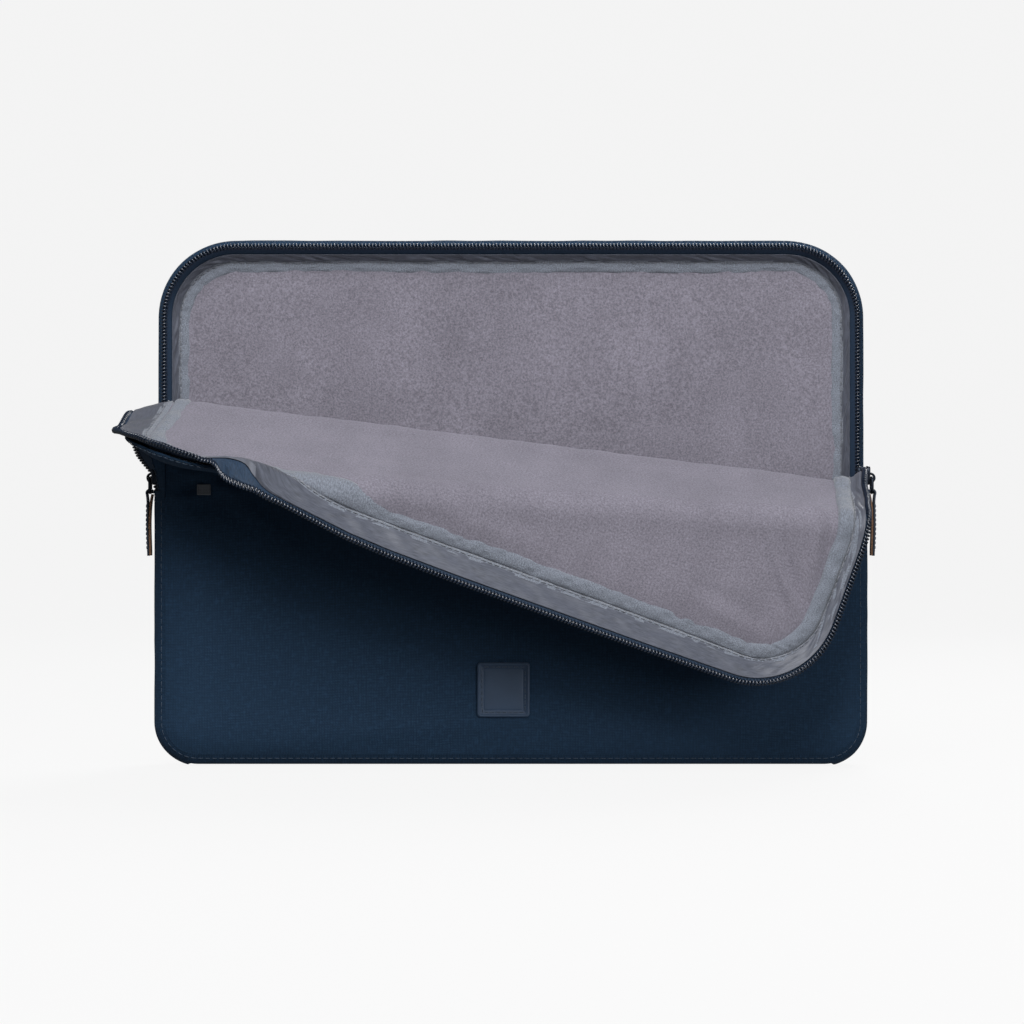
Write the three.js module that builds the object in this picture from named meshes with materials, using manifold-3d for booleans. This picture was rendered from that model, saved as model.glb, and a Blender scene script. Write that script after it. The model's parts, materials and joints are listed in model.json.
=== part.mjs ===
// A padded laptop sleeve with a wrap-round zip, standing on its bottom edge with its front flap folded down.
// Millimetres, X across the width, +Z up, the front faces -Y, and the origin is the middle of the base.
import * as THREE from 'three';
import { mergeVertices } from 'three/addons/utils/BufferGeometryUtils.js';
import Module from 'manifold-3d';

const wasm = await Module();
wasm.setup();

// Driving dimensions of the closed sleeve
const WIDTH = 338;
const HEIGHT = 250;
const DEPTH = 34;
const TOP_RADIUS = 37;
const BOTTOM_RADIUS = 20;
const PANEL_INSET = 5; // from the gusset's outer face to the sewn edge of the panels
const ARC_STEPS = 8;

// Layers, and the gap that keeps neighbouring solids apart
const GAP = 0.3;
const CANVAS = 1.0;
const FOAM = 5.0;
const LINING = 1.0;
const WALL = 1.5; // gusset and zip strip
const SATIN = 0.8;
const TAPE = 0.7;
const FACE = DEPTH / 2;
const LINING_FACE = FACE - CANVAS - FOAM - LINING - 2 * GAP;

// The zip: how far each piece starts from the middle of the depth
const COIL_NEAR = 1.5;
const COIL_FAR = 3.5;
const TAPE_FAR = 6.7;
const STRIP_NEAR = 7.0;
const SATIN_NEAR = 6.1;
const SATIN_FAR = LINING_FACE - GAP;
const ZIP_END_Z = 128;
const TAPE_INSET = 0.4; // behind the outline
const COIL_PROUD = 0.4; // in front of the outline

// The flap rolls over two slanting creases, each given by its height at the left and right edges
const LOWER_CREASE = { left: 167, right: 126 };
const UPPER_CREASE = { left: 266, right: 166 };
const LOWER_FOLD = THREE.MathUtils.degToRad(110);
const UPPER_FOLD = 0.64 * LOWER_FOLD;
const CREASE_GAP = 0.4;
const FLAP_TRIM = 1.2; // off the flap's right edge, which turns beside the gusset
const TURNING_ROOM = 3.5; // from the zip end to the flap's strip on the right, which turns past the slider

// Sliders and pullers
const SLIDER_Z = 133;
const SLIDER_LENGTH = 9;
const SLIDER_WIDTH = 11;
const PLATE = 1.4;
const NECK_WIDTH = 2.2;
const CROWN_HEIGHT = 3.2;
const CROWN_HOLE = 2.2;
const CROWN_WIDTH = 2.4;
const CROWN = { top: 3.2, low: 8.2, topLeg: 1.0, lowLeg: 1.2 }; // distances down from the slider's top
const WIRE = 1.2;
const RING_WIDTH = 11;
const RING_LENGTH = 8.6;
const SLIDER_SKIN_X = WIDTH / 2 + 0.9;
const RING_X = SLIDER_SKIN_X + PLATE + CROWN_HOLE / 2;
const RING_TOP_Z = 137.1;
const TAB_WIDTH = 8;
const TAB_LENGTH = 30;
const TAB_THICKNESS = 1.1;
const BACKING_THICKNESS = 0.6;
const BACKING_MARGIN = 0.2;
const EYE_RADIUS = 2.1;
const EYE_HOLE = 1.15;
const STRAP_DROP = 0.4; // from the eye's hole to the top of the strap

// Trims on the front
const PATCH = { width: 25, height: 26, x: -3.5, z: 35.8, base: 1.2, rim: 0.5, rimWidth: 1.4, radius: 1.5 };
const LABEL = { width: 6.6, height: 5.2, x: -145.5, z: 130.6, thickness: 0.5, radius: 0.4 };

const FAR = 240; // beyond every piece

const material = (color, roughness, metalness = 0) =>
  new THREE.MeshStandardMaterial({ color, roughness, metalness });
const navyCanvas = () => material(0x1b2c3f, 0.85);
const navyTape = () => material(0x15253a, 0.75);
const suede = () => material(0x86838f, 0.95);
const knitBinding = () => material(0x6e717c, 0.9);
const greySatin = () => material(0x5a5e6a, 0.6);
const coilNylon = () => material(0x0f1d33, 0.4);
const foam = () => material(0xcfcfcf, 0.95);
const blackMetal = () => material(0x14202c, 0.35, 0.8);
const navyLeather = () => material(0x16263c, 0.6);
const tanLeather = () => material(0x4d3c32, 0.8);
const rubber = () => material(0x2a3549, 0.6);
const wovenLabel = () => material(0x3d424c, 0.85);

// ---- solids ----

function toManifold(geometry) {
  const bare = geometry.clone();
  bare.deleteAttribute('normal');
  bare.deleteAttribute('uv');
  const merged = mergeVertices(bare);
  const mesh = new wasm.Mesh({
    numProp: 3,
    vertProperties: new Float32Array(merged.attributes.position.array),
    triVerts: new Uint32Array(merged.index.array),
  });
  return new wasm.Manifold(mesh);
}

function toGeometry(solid) {
  const mesh = solid.getMesh();
  const geometry = new THREE.BufferGeometry();
  geometry.setAttribute('position', new THREE.BufferAttribute(new Float32Array(mesh.vertProperties), 3));
  geometry.setIndex(new THREE.BufferAttribute(new Uint32Array(mesh.triVerts), 1));
  geometry.computeVertexNormals();
  return geometry;
}

const clip = (geometry, zone) => toGeometry(toManifold(geometry).intersect(toManifold(zone)));
const join = (...geometries) => toGeometry(geometries.map(toManifold).reduce((sum, next) => sum.add(next)));

// A flat shape drawn in X and Z, given thickness between two depths
function slab(shape, nearY, farY) {
  const geometry = new THREE.ExtrudeGeometry(shape, {
    depth: farY - nearY,
    bevelEnabled: false,
    curveSegments: ARC_STEPS,
  });
  geometry.rotateX(Math.PI / 2);
  geometry.translate(0, farY, 0);
  return geometry;
}

function polygon(points) {
  return new THREE.Shape(points.map(([x, z]) => new THREE.Vector2(x, z)));
}

// The sleeve's rounded outline, inset by a distance
function outline(inset) {
  const side = WIDTH / 2 - inset;
  const top = HEIGHT - inset;
  const upper = TOP_RADIUS - inset;
  const lower = BOTTOM_RADIUS - inset;
  const shape = new THREE.Shape();
  shape.moveTo(-side + lower, inset);
  shape.lineTo(side - lower, inset);
  shape.absarc(side - lower, inset + lower, lower, -Math.PI / 2, 0);
  shape.lineTo(side, top - upper);
  shape.absarc(side - upper, top - upper, upper, 0, Math.PI / 2);
  shape.lineTo(-side + upper, top);
  shape.absarc(-side + upper, top - upper, upper, Math.PI / 2, Math.PI);
  shape.lineTo(-side, inset + lower);
  shape.absarc(-side + lower, inset + lower, lower, Math.PI, Math.PI * 1.5);
  return shape;
}

function ring(outerInset, innerInset, nearY, farY) {
  const shape = outline(outerInset);
  shape.holes.push(outline(innerInset));
  return slab(shape, nearY, farY);
}

// ---- zones between the zip ends and the creases ----

const creaseZ = ({ left, right }, x) => left + ((right - left) * (x + WIDTH / 2)) / WIDTH;
const lowerCrease = (x) => creaseZ(LOWER_CREASE, x);
const upperCrease = (x) => creaseZ(UPPER_CREASE, x);

function zone(points) {
  return slab(polygon(points), -FAR, FAR);
}

const belowZipEnds = () => zone([[-FAR, -FAR], [FAR, -FAR], [FAR, ZIP_END_Z], [-FAR, ZIP_END_Z]]);
const aboveZipEnds = () => zone([
  [-FAR, ZIP_END_Z + GAP], [FAR, ZIP_END_Z + GAP], [FAR, 2 * FAR], [-FAR, 2 * FAR],
]);

const belowLowerCrease = () => zone([
  [-FAR, -FAR], [FAR, -FAR],
  [FAR, lowerCrease(FAR) - CREASE_GAP], [-FAR, lowerCrease(-FAR) - CREASE_GAP],
]);

const TRIMMED_X = WIDTH / 2 - PANEL_INSET - FLAP_TRIM;
const betweenCreases = () => zone([
  [-FAR, lowerCrease(-FAR) + CREASE_GAP], [TRIMMED_X, lowerCrease(TRIMMED_X) + CREASE_GAP],
  [TRIMMED_X, upperCrease(TRIMMED_X) - CREASE_GAP], [-FAR, upperCrease(-FAR) - CREASE_GAP],
]);

const aboveUpperCrease = () => zone([
  [-FAR, upperCrease(-FAR) + CREASE_GAP], [FAR, upperCrease(FAR) + CREASE_GAP],
  [FAR, 2 * FAR], [-FAR, 2 * FAR],
]);

// The front zip strip between the left zip end and the lower crease
const leftStub = () => zone([
  [-FAR, ZIP_END_Z + GAP], [0, ZIP_END_Z + GAP],
  [0, lowerCrease(0) - CREASE_GAP], [-FAR, lowerCrease(-FAR) - CREASE_GAP],
]);

// The front zip strip between the creases, on the left and on the right
const leftOfFlap = () => zone([
  [-FAR, lowerCrease(-FAR) + CREASE_GAP], [0, lowerCrease(0) + CREASE_GAP],
  [0, upperCrease(0) - CREASE_GAP], [-FAR, upperCrease(-FAR) - CREASE_GAP],
]);

const rightOfFlap = () => zone([
  [0, ZIP_END_Z + TURNING_ROOM], [FAR, ZIP_END_Z + TURNING_ROOM],
  [FAR, upperCrease(FAR) - CREASE_GAP], [0, upperCrease(0) - CREASE_GAP],
]);

// ---- sewn layers, each as a ring or plate of the closed sleeve ----

const frontPlate = (nearY, thickness) => slab(outline(PANEL_INSET), nearY, nearY + thickness);
const frontCanvas = () => frontPlate(-FACE, CANVAS);
const frontFoam = () => frontPlate(-FACE + CANVAS + GAP, FOAM);
const frontLining = () => frontPlate(-LINING_FACE - LINING, LINING);

const mirrored = (near, far, front) => (front ? [-far, -near] : [near, far]);

// The wall of the gusset and the turned-in hem that is sewn to the panel
function wall(near, front) {
  const [wallNear, wallFar] = mirrored(near, FACE, front);
  const [hemNear, hemFar] = mirrored(FACE - WALL, FACE, front);
  return join(ring(0, WALL, wallNear, wallFar), ring(0, PANEL_INSET - GAP, hemNear, hemFar));
}

const gussetWall = () => join(wall(-FACE, false), wall(-FACE, true));
const gussetSatin = () => ring(WALL + GAP, WALL + GAP + SATIN, -SATIN_FAR, SATIN_FAR);

function binding(front) {
  const [near, far] = mirrored(SATIN_FAR + GAP, FACE - WALL - GAP, front);
  return ring(WALL + GAP, PANEL_INSET - GAP, near, far);
}

function stripSatin(front) {
  const [near, far] = mirrored(SATIN_NEAR, SATIN_FAR, front);
  return ring(WALL + GAP, WALL + GAP + SATIN, near, far);
}

function tape(front) {
  const [near, far] = mirrored(COIL_FAR + GAP, TAPE_FAR, front);
  return ring(TAPE_INSET, TAPE_INSET + TAPE, near, far);
}

function coil(front) {
  const [near, far] = mirrored(COIL_NEAR, COIL_FAR, front);
  return ring(-COIL_PROUD, WALL + GAP, near, far);
}

const zipPieces = (front) => ({
  strip: { make: () => wall(STRIP_NEAR, front), look: navyCanvas },
  satin: { make: () => stripSatin(front), look: greySatin },
  binding: { make: () => binding(front), look: knitBinding },
  tape: { make: () => tape(front), look: navyTape },
  coil: { make: () => coil(front), look: coilNylon },
});

// ---- slider, ring and puller; side is 1 on the right and -1 on the left ----

function box(x0, x1, y0, y1, z0, z1) {
  const geometry = new THREE.BoxGeometry(x1 - x0, y1 - y0, z1 - z0);
  geometry.translate((x0 + x1) / 2, (y0 + y1) / 2, (z0 + z1) / 2);
  return geometry;
}

function sliderBody() {
  const half = SLIDER_WIDTH / 2;
  const top = SLIDER_Z + SLIDER_LENGTH;
  const innerX = WIDTH / 2 - WALL - 2 * GAP;
  const crownX = SLIDER_SKIN_X + PLATE;
  const crownBar = (nearX, low, high) =>
    box(nearX, crownX + CROWN_HEIGHT, -CROWN_WIDTH / 2, CROWN_WIDTH / 2, top - low, top - high);
  const crown = join(
    crownBar(crownX - GAP, CROWN.top + CROWN.topLeg, CROWN.top),
    crownBar(crownX - GAP, CROWN.low, CROWN.low - CROWN.lowLeg),
    crownBar(crownX + CROWN_HOLE, CROWN.low, CROWN.top),
  );
  return join(
    box(SLIDER_SKIN_X, crownX, -half, half, SLIDER_Z, top),
    box(innerX - PLATE, innerX, -half, half, SLIDER_Z, top),
    box(innerX - GAP, SLIDER_SKIN_X + GAP, -NECK_WIDTH / 2, NECK_WIDTH / 2, SLIDER_Z + SLIDER_LENGTH / 2, top),
    crown,
  );
}

function pullRing() {
  const low = RING_TOP_Z - RING_LENGTH;
  const half = RING_WIDTH / 2;
  const bar = WIRE / 2;
  return join(
    box(RING_X - bar, RING_X + bar, -half, half, RING_TOP_Z - WIRE, RING_TOP_Z),
    box(RING_X - bar, RING_X + bar, -half, half, low, low + WIRE),
    box(RING_X - bar, RING_X + bar, -half, -half + WIRE, low, RING_TOP_Z),
    box(RING_X - bar, RING_X + bar, half - WIRE, half, low, RING_TOP_Z),
  );
}

const eyeZ = RING_TOP_Z - RING_LENGTH + WIRE / 2;

// The leather is turned round the ring's lower bar, so its top end is an eye
function leatherTab() {
  const eye = new THREE.Shape();
  eye.absarc(RING_X, eyeZ, EYE_RADIUS, 0, Math.PI * 2);
  const hole = new THREE.Path();
  hole.absarc(RING_X, eyeZ, EYE_HOLE, 0, Math.PI * 2);
  eye.holes.push(hole);
  const width = TAB_WIDTH / 2;
  const strap = box(RING_X, RING_X + TAB_THICKNESS, -width, width, eyeZ - TAB_LENGTH, eyeZ - EYE_HOLE - STRAP_DROP);
  return join(slab(eye, -width, width), strap);
}

function tabBacking() {
  const outer = RING_X - GAP;
  const width = TAB_WIDTH / 2 - BACKING_MARGIN;
  const low = eyeZ - TAB_LENGTH + BACKING_MARGIN;
  const top = eyeZ - EYE_RADIUS - GAP;
  return box(outer - BACKING_THICKNESS, outer, -width, width, low, top);
}

function onSide(geometry, side) {
  if (side > 0) return geometry;
  geometry.rotateZ(Math.PI);
  return geometry;
}

// ---- trims ----

function roundedRect(width, height, radius, x, z) {
  const shape = new THREE.Shape();
  const right = x + width / 2 - radius;
  const left = x - width / 2 + radius;
  const top = z + height / 2 - radius;
  const low = z - height / 2 + radius;
  shape.absarc(right, top, radius, 0, Math.PI / 2);
  shape.absarc(left, top, radius, Math.PI / 2, Math.PI);
  shape.absarc(left, low, radius, Math.PI, Math.PI * 1.5);
  shape.absarc(right, low, radius, Math.PI * 1.5, Math.PI * 2);
  return shape;
}

function rubberPatch() {
  const { width, height, radius, x, z, base, rim, rimWidth } = PATCH;
  const back = -FACE - GAP;
  const frame = roundedRect(width, height, radius, x, z);
  frame.holes.push(roundedRect(width - 2 * rimWidth, height - 2 * rimWidth, radius / 2, x, z));
  return join(
    slab(roundedRect(width, height, radius, x, z), back - base, back),
    slab(frame, back - base - rim, back - base / 2),
  );
}

const sideLabel = () => {
  const back = -FACE - GAP;
  return slab(roundedRect(LABEL.width, LABEL.height, LABEL.radius, LABEL.x, LABEL.z), back - LABEL.thickness, back);
};

// The zip's end tab closes the gap between the front and back tapes
const zipEndTab = () => box(
  WIDTH / 2 - WALL, WIDTH / 2 + COIL_PROUD, -COIL_NEAR + GAP, COIL_NEAR - GAP, ZIP_END_Z + GAP, SLIDER_Z - GAP,
);

// ---- assembly ----

const sleeve = new THREE.Group();

function add(parent, name, geometry, look) {
  const mesh = new THREE.Mesh(geometry, look);
  mesh.name = name;
  parent.add(mesh);
}

// A group whose children are turned about a crease on the front face
function creased(parent, crease, angle) {
  const left = new THREE.Vector3(-WIDTH / 2, -FACE, crease.left);
  const right = new THREE.Vector3(WIDTH / 2, -FACE, crease.right);
  const turned = new THREE.Group();
  turned.position.copy(left);
  turned.quaternion.setFromAxisAngle(right.sub(left).normalize(), angle);
  parent.add(turned);
  const flat = new THREE.Group();
  flat.position.copy(left).negate();
  turned.add(flat);
  return flat;
}

function addBack() {
  const turnOver = (geometry) => geometry.rotateZ(Math.PI);
  add(sleeve, 'back_outer_panel', turnOver(frontCanvas()), navyCanvas());
  add(sleeve, 'back_foam_pad', turnOver(frontFoam()), foam());
  add(sleeve, 'back_lining', turnOver(frontLining()), suede());
  for (const [piece, { make, look }] of Object.entries(zipPieces(false))) {
    add(sleeve, `back_zip_${piece}`, clip(make(), aboveZipEnds()), look());
  }
}

function addLowerFront() {
  add(sleeve, 'front_outer_panel', clip(frontCanvas(), belowLowerCrease()), navyCanvas());
  add(sleeve, 'front_foam_pad', clip(frontFoam(), belowLowerCrease()), foam());
  add(sleeve, 'front_lining', clip(frontLining(), belowLowerCrease()), suede());
  add(sleeve, 'rubber_patch', rubberPatch(), rubber());
  add(sleeve, 'side_label', sideLabel(), wovenLabel());
}

function addGusset() {
  add(sleeve, 'gusset_band', clip(gussetWall(), belowZipEnds()), navyCanvas());
  add(sleeve, 'gusset_lining', clip(gussetSatin(), belowZipEnds()), greySatin());
  add(sleeve, 'back_seam_binding', clip(binding(false), belowZipEnds()), knitBinding());
  add(sleeve, 'front_seam_binding', clip(binding(true), belowZipEnds()), knitBinding());
}

function addZip(group, prefix, bounds, suffix = '') {
  for (const [piece, { make, look }] of Object.entries(zipPieces(true))) {
    add(group, `${prefix}_zip_${piece}${suffix}`, clip(make(), bounds), look());
  }
}

function addFlap(group, number, bounds) {
  add(group, `flap_${number}_outer_panel`, clip(frontCanvas(), bounds), navyCanvas());
  add(group, `flap_${number}_foam_pad`, clip(frontFoam(), bounds), foam());
  add(group, `flap_${number}_lining`, clip(frontLining(), bounds), suede());
}

function addSlider(side, word) {
  add(sleeve, `slider_${word}`, onSide(sliderBody(), side), blackMetal());
  add(sleeve, `pull_ring_${word}`, onSide(pullRing(), side), blackMetal());
  add(sleeve, `leather_tab_${word}`, onSide(leatherTab(), side), navyLeather());
  add(sleeve, `tab_backing_${word}`, onSide(tabBacking(), side), tanLeather());
  add(sleeve, `zip_end_tab_${word}`, onSide(zipEndTab(), side), navyTape());
}

addBack();
addLowerFront();
addGusset();
addZip(sleeve, 'front', leftStub(), '_left_end');
const lowerFlap = creased(sleeve, LOWER_CREASE, LOWER_FOLD);
addFlap(lowerFlap, 1, betweenCreases());
addZip(lowerFlap, 'flap_1', leftOfFlap(), '_left');
addZip(lowerFlap, 'flap_1', rightOfFlap(), '_right');
const upperFlap = creased(lowerFlap, UPPER_CREASE, UPPER_FOLD);
addFlap(upperFlap, 2, aboveUpperCrease());
addZip(upperFlap, 'flap_2', aboveUpperCrease());
addSlider(1, 'right');
addSlider(-1, 'left');

export default sleeve;
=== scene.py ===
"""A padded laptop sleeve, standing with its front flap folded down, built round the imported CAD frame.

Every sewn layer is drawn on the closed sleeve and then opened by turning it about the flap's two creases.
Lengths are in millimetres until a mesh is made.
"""
import json
import math

import bmesh
import bpy
import numpy as np
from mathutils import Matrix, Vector


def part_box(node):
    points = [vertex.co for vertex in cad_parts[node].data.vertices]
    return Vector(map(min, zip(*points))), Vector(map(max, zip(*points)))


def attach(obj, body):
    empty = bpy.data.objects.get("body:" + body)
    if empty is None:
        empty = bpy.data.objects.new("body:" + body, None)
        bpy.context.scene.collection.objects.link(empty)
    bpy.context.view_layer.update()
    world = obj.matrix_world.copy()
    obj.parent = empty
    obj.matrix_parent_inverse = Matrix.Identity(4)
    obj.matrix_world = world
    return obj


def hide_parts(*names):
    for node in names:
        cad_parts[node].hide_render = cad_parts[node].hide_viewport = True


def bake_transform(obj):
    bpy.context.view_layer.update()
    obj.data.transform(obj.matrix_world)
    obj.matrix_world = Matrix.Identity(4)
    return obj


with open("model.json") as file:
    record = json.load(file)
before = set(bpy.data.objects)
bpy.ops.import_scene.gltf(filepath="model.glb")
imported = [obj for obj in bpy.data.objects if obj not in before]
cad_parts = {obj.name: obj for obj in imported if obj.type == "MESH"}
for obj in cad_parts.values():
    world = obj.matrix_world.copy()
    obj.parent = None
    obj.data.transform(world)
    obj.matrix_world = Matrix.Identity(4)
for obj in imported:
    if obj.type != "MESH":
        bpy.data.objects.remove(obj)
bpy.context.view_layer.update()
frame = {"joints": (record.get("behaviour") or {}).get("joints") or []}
MM = 0.001

# ---- sizes of the closed sleeve, from the frame ----


def box_of(node):
    """The two corners of a CAD node's box, in millimetres."""
    return [np.array(corner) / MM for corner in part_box(node)]


def span(node, axis):
    low, high = box_of(node)
    return low[axis], high[axis]


W = span("gusset_band", 0)[1]                # half the width
H = span("back_zip_strip", 2)[1]
FACE = span("gusset_band", 1)[1]             # half the depth
ZIP_END = span("gusset_band", 2)[1]
LINING = span("back_lining", 1)[0]           # depth of the lining's face
INSET = W - span("back_outer_panel", 0)[1]   # from the gusset's outside to the panel's seam
LINING_INSET = 8.0                           # from the outline to the lining's edge
LINING_EDGE = 11.8                           # depth of that edge
FOAM_INSET = 12.0                            # from the outline to the pads' edge
TOP_R = 37.0                                 # radii of the outline's corners
BOTTOM_R = 20.0
SEAM = FACE - 4.0                            # depth of the panel seams, behind the crowned faces
CANVAS_T = 0.8                               # thicknesses
LINING_T = 0.8
GRID = 2.2                                   # cell size of the panels' grids, and of the pads' coarser ones
FOAM_GRID = 4.0


# ---- camera, lights and floor ----

PX_PER_MM = 2.11
CAMERA_DISTANCE = 2000.0
CAMERA_Z = 120.0
IMAGE = 1024


def add_camera():
    data = bpy.data.cameras.new("camera")
    data.sensor_width = 36.0
    data.lens = data.sensor_width * PX_PER_MM * CAMERA_DISTANCE / IMAGE
    data.clip_end = 50
    camera = bpy.data.objects.new("camera", data)
    camera.location = (0.5 * MM, (-FACE - CAMERA_DISTANCE) * MM, CAMERA_Z * MM)
    camera.rotation_euler = (math.pi / 2, 0, 0)
    bpy.context.collection.objects.link(camera)
    bpy.context.scene.camera = camera


def add_light(name, location, target, size, power):
    data = bpy.data.lights.new(name, "AREA")
    data.shape = "SQUARE"
    data.size = size
    data.energy = power
    light = bpy.data.objects.new(name, data)
    light.location = location
    light.rotation_euler = (Vector(target) - Vector(location)).to_track_quat("-Z", "Y").to_euler()
    bpy.context.collection.objects.link(light)


def add_studio():
    scene = bpy.context.scene
    scene.view_settings.view_transform = "Standard"
    world = bpy.data.worlds.new("studio")
    scene.world = world
    world.use_nodes = True
    background = world.node_tree.nodes["Background"]
    background.inputs["Color"].default_value = (0.97, 0.98, 1.0, 1)
    background.inputs["Strength"].default_value = 0.12
    add_light("key", (-0.15, -1.0, 1.6), (0, 0, 0.12), 0.8, 18.5)
    add_light("fill", (-0.3, -1.9, 1.45), (0, 0, 0.12), 0.8, 30)
    add_light("low_fill", (1.1, -1.9, 0.42), (0.05, 0, 0.12), 1.0, 19)
    add_light("back_fill", (0.5, 1.7, 1.3), (0, 0, 0.12), 0.9, 22)
    add_backdrop()


def add_backdrop():
    """A pale floor that curves up into a wall, so that no horizon shows."""
    turn = np.linspace(0, math.pi / 2, 13)
    radius, start = 1.0, 2.2
    run = [(-7, 0), (-2, 0), (0, 0), (start, 0)]
    run += [(start + radius * math.sin(a), radius * (1 - math.cos(a))) for a in turn[1:]]
    run += [(start + radius, 7)]
    vertices = [(x, y, z - 0.0004) for y, z in run for x in (-8, -3, 0, 3, 8)]
    faces = []
    for i in range(len(run) - 1):
        faces += [(5 * i + k, 5 * i + k + 1, 5 * i + k + 6, 5 * i + k + 5) for k in range(4)]
    mesh = bpy.data.meshes.new("backdrop")
    mesh.from_pydata(vertices, [], faces)
    mesh.polygons.foreach_set("use_smooth", [True] * len(mesh.polygons))
    mesh.materials.append(backdrop_material())
    backdrop = bpy.data.objects.new("backdrop", mesh)
    bpy.context.collection.objects.link(backdrop)


def backdrop_material():
    """Paper that glows, more to the eye than on the sleeve, so that the studio is an even pale grey."""
    paper = plain_material("backdrop_paper", (0.012, 0.012, 0.0125), 0.95)
    nodes, links = paper.node_tree.nodes, paper.node_tree.links
    shader = nodes["Principled BSDF"]
    shader.inputs["Emission Color"].default_value = (1, 1, 1, 1)
    path = nodes.new("ShaderNodeLightPath")
    glow = nodes.new("ShaderNodeMapRange")
    glow.inputs["To Min"].default_value = 0.16
    glow.inputs["To Max"].default_value = 0.895
    links.new(path.outputs["Is Camera Ray"], glow.inputs["Value"])
    links.new(glow.outputs[0], shader.inputs["Emission Strength"])
    return paper


def plain_material(name, colour, roughness):
    material = bpy.data.materials.new(name)
    material.use_nodes = True
    shader = material.node_tree.nodes["Principled BSDF"]
    shader.inputs["Base Color"].default_value = (*colour, 1)
    shader.inputs["Roughness"].default_value = roughness
    shader.inputs["Specular IOR Level"].default_value = 0.2
    return material


# ---- materials ----


class Shader:
    """A small helper that adds nodes to one material."""

    def __init__(self, name, roughness, specular=0.5, metallic=0.0, sheen=0.0, sheen_rough=0.5,
                 sheen_tint=None):
        self.material = bpy.data.materials.new(name)
        self.material.use_nodes = True
        self.tree = self.material.node_tree
        self.out = self.tree.nodes["Principled BSDF"]
        self.out.inputs["Roughness"].default_value = roughness
        self.out.inputs["Specular IOR Level"].default_value = specular
        self.out.inputs["Metallic"].default_value = metallic
        self.out.inputs["Sheen Weight"].default_value = sheen
        self.out.inputs["Sheen Roughness"].default_value = sheen_rough
        if sheen_tint:
            self.out.inputs["Sheen Tint"].default_value = (*sheen_tint, 1)
        attribute = self.add("ShaderNodeAttribute")
        attribute.attribute_name = "cloth"
        # the point's place on the flat, closed sleeve, in millimetres
        self.cloth = attribute.outputs["Vector"]

    def add(self, kind, **inputs):
        node = self.tree.nodes.new(kind)
        for key, value in inputs.items():
            self.feed(node.inputs[key.replace("_", " ")], value)
        return node

    def feed(self, socket, value):
        if isinstance(value, bpy.types.NodeSocket):
            self.tree.links.new(value, socket)
        else:
            socket.default_value = value

    def noise(self, scale, detail=3.0, rough=0.55, stretch=None):
        vector = self.cloth
        if stretch:
            mapping = self.add("ShaderNodeMapping", Vector=vector)
            mapping.inputs["Scale"].default_value = stretch
            vector = mapping.outputs["Vector"]
        node = self.add("ShaderNodeTexNoise", Vector=vector, Scale=scale, Detail=detail, Roughness=rough)
        return node.outputs["Fac"]

    def math(self, operation, a, b=0.0):
        node = self.tree.nodes.new("ShaderNodeMath")
        node.operation = operation
        self.feed(node.inputs[0], a)
        self.feed(node.inputs[1], b)
        return node.outputs[0]

    def ramp(self, value, low, high, to_low=0.0, to_high=1.0):
        node = self.add("ShaderNodeMapRange", Value=value)
        for name, number in (("From Min", low), ("From Max", high), ("To Min", to_low), ("To Max", to_high)):
            node.inputs[name].default_value = number
        return node.outputs[0]

    def mix(self, factor, a, b):
        node = self.tree.nodes.new("ShaderNodeMix")
        node.data_type = "RGBA"
        self.feed(node.inputs[0], factor)
        self.feed(node.inputs[6], a if isinstance(a, bpy.types.NodeSocket) else (*a, 1))
        self.feed(node.inputs[7], b if isinstance(b, bpy.types.NodeSocket) else (*b, 1))
        return node.outputs[2]

    def tones(self, value, low, high, base, dark, light):
        """A mix of a darker and a lighter shade of one colour."""
        return self.mix(self.ramp(value, low, high), scaled(base, dark), scaled(base, light))

    def colour(self, socket):
        self.feed(self.out.inputs["Base Color"], socket)

    def rough(self, socket):
        self.feed(self.out.inputs["Roughness"], socket)

    def bump(self, height, strength, distance=0.0003):
        node = self.add("ShaderNodeBump", Height=height)
        node.inputs["Strength"].default_value = strength
        node.inputs["Distance"].default_value = distance
        last = self.out.inputs["Normal"]
        if last.is_linked:
            self.feed(node.inputs["Normal"], last.links[0].from_socket)
        self.feed(last, node.outputs["Normal"])

    def axis(self, name):
        node = self.add("ShaderNodeSeparateXYZ", Vector=self.cloth)
        return node.outputs[name]

    def wave(self, coordinate, pitch):
        """A sine from 0 to 1 along one coordinate."""
        phase = self.math("MULTIPLY", coordinate, 2 * math.pi / pitch)
        return self.ramp(self.math("SINE", phase), -1, 1)


def scaled(colour, factor):
    return tuple(c * factor for c in colour)


def weave_height(s, pitch):
    """Plain weave: warp and weft threads that pass over each other in turn."""
    wobble = s.math("MULTIPLY", s.math("SUBTRACT", s.noise(0.08, 2), 0.5), 1.2)
    u = s.math("ADD", s.axis("X"), wobble)
    v = s.math("ADD", s.axis("Z"), wobble)
    warp = s.wave(u, pitch)
    weft = s.wave(v, pitch)
    checker = s.math("MULTIPLY", s.wave(u, 2 * pitch), s.wave(v, 2 * pitch))
    return s.math("ADD", s.math("MAXIMUM", warp, weft), s.math("MULTIPLY", checker, 0.7))


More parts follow.
